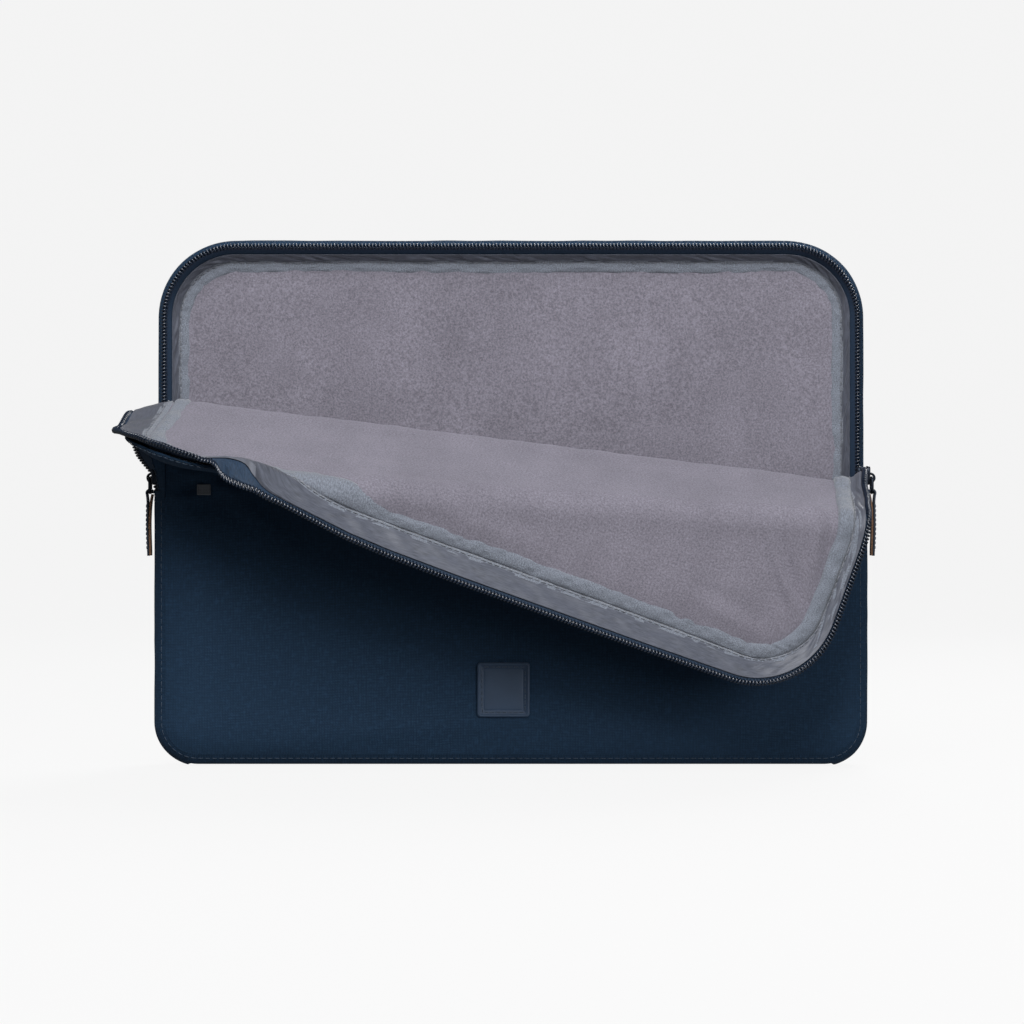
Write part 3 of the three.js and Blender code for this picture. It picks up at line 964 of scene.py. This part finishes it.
def gusset_profile(offset, s):
    """The gusset's section between its seams: a bulge, flatter on the floor. Points are (inset, depth)."""
    y = np.linspace(-SEAM, SEAM, 23)
    inset = INSET * np.abs(y / SEAM) ** 3 - 1.3 * (1 - np.abs(y / SEAM) ** 4) * (offset == 0)
    ripple = 0.25 * soft_noise(s[:, None], y[None] * 1.5, 16, 5) * (1 - np.abs(y / SEAM) ** 4)
    flat = np.where(rim_at(s)[1][:, 1] < -0.98, 0.0, 1.0)[:, None]
    depth = np.broadcast_to(y * (1 - 0.03 * offset), ripple.shape)
    inset = np.maximum(inset, -2 * flat)
    return np.stack([inset + np.abs(ripple) * flat + offset, depth], -1)


def add_gusset():
    s = np.linspace(RIGHT_END - LOOP - 2, LEFT_END + 2, int((LEFT_END - RIGHT_END + LOOP) / 1.5))
    top, under = gusset_profile(0.0, s), gusset_profile(1.0, s)
    cloth = along_cloth(s, top)
    fixed_shell("gusset", swept(s, top)[:, ::-1], swept(s, under)[:, ::-1], "navy_canvas",
                ("gusset_band",), cloth[:, ::-1], width=29, on=["gusset_satin"])
    top, under = gusset_profile(1.6, s), gusset_profile(2.3, s)
    top, under = top * (1, 0.93), under * (1, 0.93)
    fixed_shell("gusset_satin", swept(s, under), swept(s, top), "grey_satin", ("gusset_lining",),
                along_cloth(s, under), width=26)
    for word, sign in (("back", 1), ("front", -1)):
        turn = np.linspace(0, 2 * math.pi, 11)
        loop = np.stack([7.4 + 2.0 * np.cos(turn), sign * (11.0 - 1.0 * np.sin(turn))], -1)
        grid = swept(s, loop)
        n = grid.shape[1]
        start = n * np.arange(len(s) - 1)[:, None] + np.arange(n - 1)[None]
        faces = np.stack([start, start + 1, start + n + 1, start + n], -1).reshape(-1, 4)
        parts = (grid.reshape(-1, 3), faces[:, ::-sign])
        fixed_mesh(f"{word}_seam_roll", parts, "knit_binding",
                   nodes=(f"{word}_seam_binding",))


# ---- zip strips ----

# Each strip's section along the outline: distance, how far its inner layers start inside the outline,
# their slope from the panel's plane towards the inside of the sleeve, in degrees, and their length
CORNER_START = LEFT_END + (H - TOP_R - ZIP_END)
TOP_START = CORNER_START + TOP_R * math.pi / 2
TOP_END = LOOP - TOP_START
CORNER_END = LOOP - CORNER_START
FRONT_KEYS = np.array([
    (LEFT_END, 9, 46, 11.8), (LEFT_END + 11, 9, 36, 13.8), (LEFT_END + 19, 9, 10, 17),
    (LEFT_END + 29, 9, -12, 19.5), (LEFT_END + 44, 9, -24, 20.5), (LEFT_END + 59, 9, -22, 20),
    (LEFT_END + 74, 9, -12, 18), (CORNER_START + 4, 9, 2, 15.5), (CORNER_START + 14, 9, 18, 14),
    (CORNER_START + 29, 9, 35, 13), (CORNER_START + 44, 9, 40, 13), (TOP_START + 5, 9, 31, 13),
    (TOP_START + 16, 9, 44, 13.8), (TOP_START + 29, 9, 53, 12.8), (TOP_START + 41, 9, 52, 12.6),
    (TOP_START + 56, 9, 44, 13.3), (TOP_START + 76, 9, 32, 14), (TOP_START + 96, 9, 26, 14.2),
    (0.5 * LOOP, 9, 31, 15.4), (TOP_END - 40, 9, 32, 15.0), (TOP_END, 8.5, 32, 13.5),
    (TOP_END + 30, 6, 30, 10), (CORNER_END - 6, 3.8, 26, 7), (CORNER_END + 22, 3, 25, 6),
    (RIGHT_END - 48, 3, 25, 6), (RIGHT_END - 36, 3.6, 28, 6), (RIGHT_END - 24, 4.8, 32, 6.5),
    (RIGHT_END - 8, 8, 40, 7.4), (RIGHT_END, 9, 46, 10.5),
])
BACK_KEYS = np.array([
    (LEFT_END, 9.5, 56, 11.6), (CORNER_START, 9.5, 56, 11.5), (TOP_START, 9.5, 55, 11.5),
    (TOP_END, 9.5, 55, 11.5), (CORNER_END, 9.5, 56, 11.5), (RIGHT_END, 9.5, 56, 11.6),
])
DEEP = 11.9         # depth at which the inner layers start
COIL_PITCH, COIL_STEPS = 1.65, 9                       # length of a turn and points in it
COIL_WIDE, COIL_HIGH, COIL_WIRE = 1.1, 0.9, 0.52       # radii of a turn and of its wire


class Section:
    """One zip strip's section at each of several distances round the outline.
    Its sides are measured from 0 at the panel to 1 at the free edge."""

    def __init__(self, front, s):
        self.sign = -1 if front else 1
        self.bow = 1.0 if front else 4.6
        keys = FRONT_KEYS if front else BACK_KEYS
        inset, slope, self.length = (np.interp(s, keys[:, 0], keys[:, i]) for i in (1, 2, 3))
        slope = np.radians(slope)
        self.way = np.stack([-np.cos(slope), -self.sign * np.sin(slope)], -1)[:, None]
        self.inward = np.stack([np.sin(slope), -self.sign * np.cos(slope)], -1)[:, None]
        self.start = np.stack([inset, np.full_like(inset, self.sign * DEEP)], -1)[:, None]
        self.run = self.way * self.length[:, None, None]
        self.edge = self.start + self.run
        self.seam = np.array([INSET, self.sign * SEAM])

    def inner(self, t, lift):
        """Points at shares t along the inner line, lifted off it towards the inside."""
        t, lift = np.broadcast_arrays(np.atleast_2d(t), np.atleast_2d(lift))
        return self.start + t[..., None] * self.run + lift[..., None] * self.inward

    def outer(self, t, lift):
        """Points on the canvas side, bowed a little outwards."""
        t, lift = np.broadcast_arrays(np.atleast_2d(t), np.atleast_2d(lift))
        base = self.seam + t[..., None] * (self.edge - self.seam)
        return base - (self.bow * np.sin(math.pi * t) ** 0.8 + lift)[..., None] * self.inward


def strip_steps(step=1.5):
    return np.linspace(LEFT_END - 1, RIGHT_END + 1, int((RIGHT_END - LEFT_END) / step))


def hold_of(points):
    """The right end of the front strip stays with the gusset, and turns over to the flap just above it."""
    return np.where(points[..., 0] > 0, 1 - smooth((points[..., 2] - ZIP_END - 1) / 9.0), 0.0)


def zip_nodes(kind):
    return ((f"front_zip_{kind}_left_end", f"flap_1_zip_{kind}_left", f"flap_1_zip_{kind}_right"),
            (f"flap_2_zip_{kind}",))


def add_strip(front):
    seed = 50 if front else 90
    s = strip_steps()
    row = s[:, None]
    section = Section(front, s)

    def layer(name, top, under, material, kind, width):
        a, b, cloth = swept(s, top), swept(s, under), along_cloth(s, top)
        if front:
            folded_shell(f"front_{name}", a, b, material, zip_nodes(kind), cloth, width, hold=hold_of(a))
        else:
            a, b, cloth = a[:, ::-1], b[:, ::-1], cloth[:, ::-1]
            fixed_shell(f"back_{name}", a, b, material, (f"back_zip_{kind}",), cloth, width)

    # canvas strip outside, from the seam to the zip tape
    t = np.linspace(0.62 if front else 0.94, 0, 14)[None]
    ripple = 0.3 * soft_noise(row, t * 12, 13, seed) * np.sin(math.pi * t)
    lift = 0.55 + ripple
    layer("zip_canvas", section.outer(t, lift), section.outer(t, lift - 0.9), "navy_canvas", "strip", 12)
    # satin inside, drawn into diagonal creases by its stitching
    t = np.linspace(0.14, 0.88 if front else 0.60, 14)[None]
    slant = row * 0.9 + t * 22
    pucker = 0.7 * soft_noise(slant, t * 9, 3.4, seed + 1)
    pucker = pucker + 0.5 * soft_noise(row - t * 14, t * 7, 7.0, seed + 2)
    inside = np.sin(math.pi * (t - t.min()) / np.ptp(t))
    lift = np.maximum(1.7 + pucker * inside, 1.15)
    layer("zip_satin_band", section.inner(t, lift), section.inner(t, lift - 0.6), "grey_satin", "satin", 8)
    # tape that carries the coil, from under the canvas to the free edge; both its faces show
    t = np.linspace(0.4, 0.99, 10)[None]
    rib = 0.06 * np.sin(t * 60)
    layer("zip_tape_band", section.inner(t, 0.7 + rib), section.inner(t, rib - 0.1), "zip_tape", "tape", 8)
    # knit binding: a puckered roll over the lining's edge, then a flat lip that is sewn down
    v = np.linspace(-1, 1, 15)[None]
    half = 4.1 if front else 3.0
    wander = 0.6 * soft_noise(row, 0 * row, 24, seed + 3) + 0.4 * soft_noise(row, 0 * row, 7, seed + 4)
    plump = 1 + 0.25 * soft_noise(row, v * 2, 6, seed + 5) + 0.15 * soft_noise(row, v * 5, 2.6, seed + 6)
    height = (2.7 if front else 2.3) * np.sqrt(np.clip(1 - v ** 2, 0, 1)) ** 0.7 * plump
    inset = section.start[..., 0] + 0.2 + half + wander * (0.3 + 0.7 * (v > 0)) + half * v
    roll = np.stack([inset, section.sign * (DEEP - height)], -1)
    wide = smooth((row - TOP_END - 20) / 30) * smooth((RIGHT_END - 14 - row) / 24) if front else 0 * row
    lip_t = np.linspace(0.22 + 0.5 * wide[:, 0], 0.02, 6, axis=1)
    lip = section.inner(lip_t, 1.7 + 0.15 * soft_noise(row, lip_t * 9, 4, seed + 7))
    top = np.concatenate([lip, roll], 1)
    under = top + (0, section.sign * 0.5)
    under[:, lip.shape[1]:, 1] = section.sign * (DEEP + 0.4)
    layer("zip_binding_roll", top[:, ::-1], under[:, ::-1], "knit_binding", "binding", 14 if front else 11)


def coil_line(front, s):
    """The middle of the coil at distances s, on the closed sleeve."""
    section = Section(front, s)
    return section, section.inner((1 + 0.55 / section.length)[:, None], 0.55)


def add_coil(front, name, nodes):
    """A nylon coil sewn to the tape. Its turns are evenly spaced on the sleeve as it stands."""
    fine = np.arange(LEFT_END + 1, RIGHT_END - 1, 0.25)
    middle = swept(fine, coil_line(front, fine)[1])[:, 0]
    if front:
        middle = opened(middle, hold_of(middle))
    along = np.concatenate([[0], np.cumsum(np.linalg.norm(np.diff(middle, axis=0), axis=1))])
    count = int(along[-1] / COIL_PITCH * COIL_STEPS)
    s = np.interp(np.arange(count) * COIL_PITCH / COIL_STEPS, along, fine)
    turn = 2 * math.pi * np.arange(count) / COIL_STEPS
    cosine, sine = np.cos(turn)[:, None], np.sin(turn)[:, None]
    section, centre = coil_line(front, s)
    profile = (centre + cosine[..., None] * section.way * COIL_WIDE
               + sine[..., None] * section.inward * COIL_HIGH)
    path = swept(s, profile)[:, 0]
    if not front:
        fixed_mesh(name, tube_mesh(path, COIL_WIRE), "zip_coil", nodes=nodes)
        return
    # the turns keep their shape where the fold stretches what they are sewn to
    closed_middle = swept(s, centre)[:, 0]
    hold = hold_of(closed_middle)
    middle = opened(closed_middle, hold)
    ways = [opened(swept(s, centre + 0.2 * way)[:, 0], hold) - middle
            for way in (section.way, section.inward)]
    way, inward = (d / np.linalg.norm(d, axis=1, keepdims=True) for d in ways)
    turned = middle + cosine * way * COIL_WIDE + sine * inward * COIL_HIGH
    vertices, faces = tube_mesh(turned, COIL_WIRE)
    closed = np.repeat(path, len(vertices) // len(path), axis=0)
    folded_mesh(name, vertices, faces, "zip_coil", nodes, closed=closed)


def add_strip_stitches(front, name):
    """The row that sews down the binding's lip, and the row on the canvas beside the free edge."""
    s = strip_steps(0.8)
    section = Section(front, s)
    for word, profile, outward, thread in (
            ("lip", section.inner(0.10, 1.85), section.inward, GREY_THREAD),
            ("edge", section.outer(0.56 if front else 0.8, 0.6), -section.inward, NAVY_THREAD)):
        points = swept(s, profile)[:, 0]
        normal = swept(s, profile + outward)[:, 0] - points
        if not front:
            fixed_mesh(f"{name}_{word}_stitches", stitch_row(points, normal), thread)
            continue
        vertices, faces = merged(stitch_row(points, normal))
        folded_mesh(f"{name}_{word}_stitches", vertices, faces, thread, hold=hold_of(vertices))


def add_seam_stitches():
    """Stitches beside the panel seams on the gusset, front and back."""
    s = np.arange(RIGHT_END - LOOP, LEFT_END, 0.8)
    for word, sign in (("front", -1), ("back", 1)):
        profile = np.stack([np.full_like(s, 3.1), np.full_like(s, sign * 11.4)], -1)
        points = swept(s, profile[:, None])[:, 0]
        outer = swept(s, (profile + (-0.8, sign * 0.6))[:, None])[:, 0]
        fixed_mesh(f"{word}_seam_stitches", stitch_row(points, outer - points), NAVY_THREAD)


# ---- sliders, rings and pullers ----

OUTWARDS = (1.0, 0, 0)      # the right side's direction away from the sleeve
FORWARDS = (0, -1.0, 0)


def bevelled_box(low, high, radius, segments=3):
    """A box with rounded edges, as vertices and faces."""
    bm = bmesh.new()
    bmesh.ops.create_cube(bm, size=1)
    low, high = np.array(low, float), np.array(high, float)
    for v in bm.verts:
        v.co = Vector((np.array(v.co) + 0.5) * (high - low) + low)
    bmesh.ops.bevel(bm, geom=bm.edges[:], offset=radius, segments=segments, profile=0.5, affect="EDGES")
    vertices = np.array([v.co for v in bm.verts])
    faces = [tuple(v.index for v in f.verts) for f in bm.faces]
    bm.free()
    return vertices, faces


def loop_tube(points, radius, sides=10):
    """A closed round tube through points that lie on a loop."""
    points = np.asarray(points, float)
    tangent = np.roll(points, -1, 0) - np.roll(points, 1, 0)
    tangent /= np.linalg.norm(tangent, axis=1, keepdims=True)
    flat = np.array([1.0, 0, 0])
    side = np.cross(tangent, flat)
    side /= np.linalg.norm(side, axis=1, keepdims=True)
    turn = 2 * math.pi * np.arange(sides) / sides
    ring = np.cos(turn)[None, :, None] * side[:, None] + np.sin(turn)[None, :, None] * flat
    grid = points[:, None] + radius * ring
    return grid.reshape(-1, 3), ring_faces(len(points), sides, closed=True)


def plate(outline_yz, x0, x1, rounding, steps=3):
    """A plate from x0 to x1 with its outline in Y and Z and rounded edges, as vertices and faces."""
    outline_yz = np.asarray(outline_yz, float)
    centre = outline_yz.mean(0)
    quarter = np.linspace(0, math.pi / 2, steps + 1)
    levels = [(x0 + rounding * (1 - math.cos(a)), rounding * (1 - math.sin(a))) for a in quarter]
    levels += [(x1 - rounding * (1 - math.cos(a)), rounding * (1 - math.sin(a))) for a in quarter[::-1]]
    reach = np.linalg.norm(outline_yz - centre, axis=1)[:, None]
    vertices = []
    for x, shrink in levels:
        ring = centre + (outline_yz - centre) * (1 - shrink / reach)
        vertices += [(x, y, z) for y, z in ring]
    size = len(levels), len(outline_yz)
    foot, head = caps(*size)
    return np.array(vertices), [foot, *ring_faces(*size), head]


def turned_over(parts, side):
    """Parts made on the right, moved to the left by half a turn about the upright axis."""
    if side > 0:
        return parts
    return [(v * (-1, -1, 1), f) for v, f in parts]


def add_slider(side, word):
    low, high = box_of("slider_right")
    ring_low, ring_high = box_of("pull_ring_right")
    half, z0, z1 = high[1], low[2], high[2]
    skin = W + 0.9
    # the outer and inner plates are wider at the top, where the two coils part
    sides = [(0.55, z1), (0.96, z1 - 1.0), (1.0, z1 - 2.6), (0.82, z0 + 2.6), (0.72, z0 + 0.4), (0.5, z0)]
    shape = [(0, z1 - 0.6)] + [(-half * k, z) for k, z in sides] + [(half * k, z) for k, z in sides[::-1]]
    outer = plate(shape, skin, skin + 1.5, 0.45)
    inner = plate(shape, W - 3.6, W - 2.2, 0.45)
    neck = bevelled_box((W - 2.4, -1.1, z0 + 4.5), (skin + 0.2, 1.1, z1 - 0.4), 0.4)
    flanges = [bevelled_box((skin - 1.3, y - 0.45, z0 + 0.8), (skin + 0.6, y + 0.45, z1 - 2.2), 0.3)
               for y in (-half * 0.8, half * 0.8)]
    crown_turn = np.linspace(0, math.pi, 15)
    crown_mid = (z1 - 3.2 + z0 + 0.8) / 2
    path = np.stack([skin + 1.2 + 2.6 * np.sin(crown_turn) ** 0.8, 0 * crown_turn,
                     crown_mid + 2.1 * np.cos(crown_turn)], -1)
    vertices, faces = tube_mesh(path, 0.62, 8)
    bridge = (vertices * (1, 1.9, 1), faces)
    parts = turned_over([outer, inner, neck, *flanges, bridge], side)
    slider = f"slider_{word}"
    fixed_mesh(f"slider_body_{word}", parts, "slider_metal", slider, (slider,))
    ring_x = (ring_low[0] + ring_high[0]) / 2
    wide, top, bottom = ring_high[1] - 0.6, ring_high[2] - 0.6, ring_low[2] + 0.6
    turn = np.linspace(0, 2 * math.pi, 48, endpoint=False)
    cy = np.sign(np.cos(turn)) * np.abs(np.cos(turn)) ** 0.55 * wide
    cz = (top + bottom) / 2 + np.sign(np.sin(turn)) * np.abs(np.sin(turn)) ** 0.55 * (top - bottom) / 2
    hoop = loop_tube(np.stack([np.full_like(cy, ring_x), cy, cz], -1), 0.62)
    fixed_mesh(f"d_ring_{word}", turned_over([hoop], side), "slider_metal", f"ring_{word}",
               (f"pull_ring_{word}",))
    add_tab(side, word, ring_x, bottom)


def add_tab(side, word, ring_x, bar_z):
    """A leather strap turned round the ring's lower bar, with a paler backing and a stitched edge."""
    low, high = box_of("leather_tab_right")
    width = high[1]
    z1 = low[2]
    steps = np.linspace(0, 1, 26)[1:]
    turn = np.linspace(math.pi * 1.05, 0, 12)
    mid = 1.55
    wrap = np.stack([ring_x + mid * np.cos(turn), bar_z + mid * np.sin(turn)], -1)
    drop = bar_z - (bar_z - z1) * steps
    pinch = mid * np.exp(-steps * 9) + 0.75 * (1 - np.exp(-steps * 9))
    bow = 0.35 * np.sin(math.pi * steps) ** 2
    front = np.stack([ring_x + pinch + bow, drop], -1)
    line = np.concatenate([wrap, front])
    cols = np.linspace(-1, 1, 13)
    tangent = np.gradient(line, axis=0)
    normal = np.stack([-tangent[:, 1], tangent[:, 0]], -1)
    normal /= np.linalg.norm(normal, axis=1, keepdims=True)
    end = np.concatenate([np.zeros(len(wrap)), np.clip((steps - 0.93) / 0.07, 0, 1)])
    half = width * (1 - 0.16 * end ** 2)[:, None] * cols[None]
    soften = 0.22 * (1 - np.abs(cols) ** 6)[None]

    def sheet_at(lift):
        x = line[:, 0:1] - normal[:, 0:1] * lift
        z = line[:, 1:2] - normal[:, 1:2] * lift
        return np.stack([x + 0 * half, half, z + 0 * half], -1)

    outer, inner = sheet_at(0.32 + soften), sheet_at(-0.42 + 0 * soften)
    flip = (-1, -1, 1) if side < 0 else (1, 1, 1)
    tab = shell(f"leather_strap_{word}", outer * flip, inner * flip, LOOKS["navy_leather"], outer)
    finish_piece(tab, f"puller_{word}", (f"leather_tab_{word}",))
    back_steps = np.linspace(0.02, 0.995, 24)
    back_z = bar_z - (bar_z - z1) * back_steps
    back_pinch = 1.35 * np.exp(-back_steps * 9) + 0.25 * (1 - np.exp(-back_steps * 9))
    back_bow = 0.35 * np.sin(math.pi * back_steps) ** 2
    near = np.stack([ring_x - back_pinch + back_bow, back_z], -1)
    half_b = (width - 0.25) * cols[None]

    def backing_at(lift):
        x = near[:, 0:1] + lift + 0 * half_b
        return np.stack([x, half_b + 0 * near[:, 0:1], near[:, 1:2] + 0 * half_b], -1)[:, ::-1]

    back = shell(f"strap_backing_{word}", backing_at(-0.45) * flip, backing_at(0.4) * flip,
                 LOOKS["tan_leather"], backing_at(0.0))
    finish_piece(back, f"puller_{word}", (f"tab_backing_{word}",))
    # one row of stitches down each edge and one across the foot
    edge, proud = width - 0.9, 0.52
    run = front[3:-2]
    rows = [np.stack([run[:, 0] + proud, np.full(len(run), y), run[:, 1]], -1) for y in (-edge, edge)]
    rows.append(np.array([(front[-3, 0] + proud, y, front[-3, 1]) for y in np.linspace(-edge, edge, 8)]))
    parts = [part for row in rows for part in stitch_row(row, OUTWARDS, 1.5, 0.7, 0.16, 0.14)]
    parts = turned_over(parts, side)
    fixed_mesh(f"strap_stitches_{word}", parts, NAVY_THREAD, f"puller_{word}")


def add_end_tab(side, word):
    """The little folded tab that closes the foot of the zip."""
    low, high = box_of("zip_end_tab_right")
    strap = bevelled_box(low - (0.4, 1.4, 2.6), high + (0.5, 1.4, 0), 0.45)
    foot = bevelled_box(low - (0.2, 1.9, 3.6), (high[0] + 0.8, high[1] + 1.9, low[2] - 1.6), 0.5)
    row = [(high[0] + 0.9, y, low[2] - 2.6) for y in np.linspace(low[1] - 1.6, high[1] + 1.6, 6)]
    parts = [strap, foot, *stitch_row(row, OUTWARDS, 1.2, 0.5, 0.18, 0.12)]
    fixed_mesh(f"zip_foot_{word}", turned_over(parts, side), "zip_tape",
               nodes=(f"zip_end_tab_{word}",))


# ---- patch and label ----


def rounded_outline(cx, cz, half_w, half_h, radius, steps=7):
    """Points round a rounded rectangle, anticlockwise seen from the front."""
    points = []
    for k, (sx, sz) in enumerate(((1, 1), (-1, 1), (-1, -1), (1, -1))):
        for a in np.linspace(0, math.pi / 2, steps):
            angle = k * math.pi / 2 + a
            points.append((cx + sx * (half_w - radius) + radius * math.cos(angle),
                           cz + sz * (half_h - radius) + radius * math.sin(angle)))
    return np.array(points)


def stack_outline(cx, cz, half_w, half_h, radius, levels, base_y):
    """A low relief built from outlines: each level is (inset, height above base_y)."""
    rings = []
    for inset, height in levels:
        ring = rounded_outline(cx, cz, half_w - inset, half_h - inset, max(radius - inset, 0.25))
        rings.append(np.stack([ring[:, 0], np.full(len(ring), base_y - height), ring[:, 1]], -1))
    size = len(rings), len(rings[0])
    foot, head = caps(*size)
    return np.concatenate(rings), [*ring_faces(*size), head, foot]


def front_part(node):
    """Centre, half sizes and back of a flat part on the front, from its CAD node."""
    low, high = box_of(node)
    (cx, _, cz), (half_w, _, half_h) = (low + high) / 2, (high - low) / 2
    return cx, cz, half_w, half_h, high[1] + 0.9


def add_patch():
    cx, cz, half_w, half_h, back = front_part("rubber_patch")
    levels = [(0.0, 0.0), (0.0, 1.5), (0.12, 1.85), (0.4, 2.05), (1.0, 2.1), (1.3, 1.95), (1.45, 1.6),
              (1.7, 1.5), (2.9, 1.5), (3.0, 1.38), (3.3, 1.36), (3.5, 1.5), (3.8, 1.54), (6.0, 1.58)]
    parts = [stack_outline(cx, cz, half_w, half_h, 1.8, levels, back)]
    fixed_mesh("rubber_badge", parts, "rubber_patch", nodes=("rubber_patch",))
    line = rounded_outline(cx, cz, half_w - 2.3, half_h - 2.3, 0.8)
    line = np.concatenate([line, line[:1]])
    points = np.stack([line[:, 0], np.full(len(line), back - 1.5), line[:, 1]], -1)
    parts = stitch_row(points, FORWARDS, 1.9, 0.9, 0.2, 0.16)
    fixed_mesh("badge_stitches", parts, NAVY_THREAD)


def add_label():
    cx, cz, half_w, half_h, back = front_part("side_label")
    levels = [(0.0, 0.0), (0.0, 0.9), (0.15, 1.2), (0.5, 1.3), (0.9, 1.2), (1.2, 1.15)]
    parts = [stack_outline(cx, cz, half_w, half_h, 0.5, levels, back)]
    for x in (cx - half_w + 0.6, cx + half_w - 0.6):
        row = [(x, back - 1.25, z) for z in np.linspace(cz - half_h + 0.3, cz + half_h - 0.3, 6)]
        parts += stitch_row(row, FORWARDS, 0.9, 0.3, 0.12, 0.1)
    fixed_mesh("woven_side_label", parts, "woven_label", nodes=("side_label",))


# ---- the whole sleeve ----

add_camera()
add_studio()
add_panels()
add_gusset()
for is_front in (True, False):
    add_strip(is_front)
    word = "front" if is_front else "back"
    add_coil(is_front, f"{word}_coil", zip_nodes("coil") if is_front else ("back_zip_coil",))
    add_strip_stitches(is_front, f"{word}_strip")
add_seam_stitches()
for side, side_word in ((1, "right"), (-1, "left")):
    add_slider(side, side_word)
    add_end_tab(side, side_word)
add_patch()
add_label()
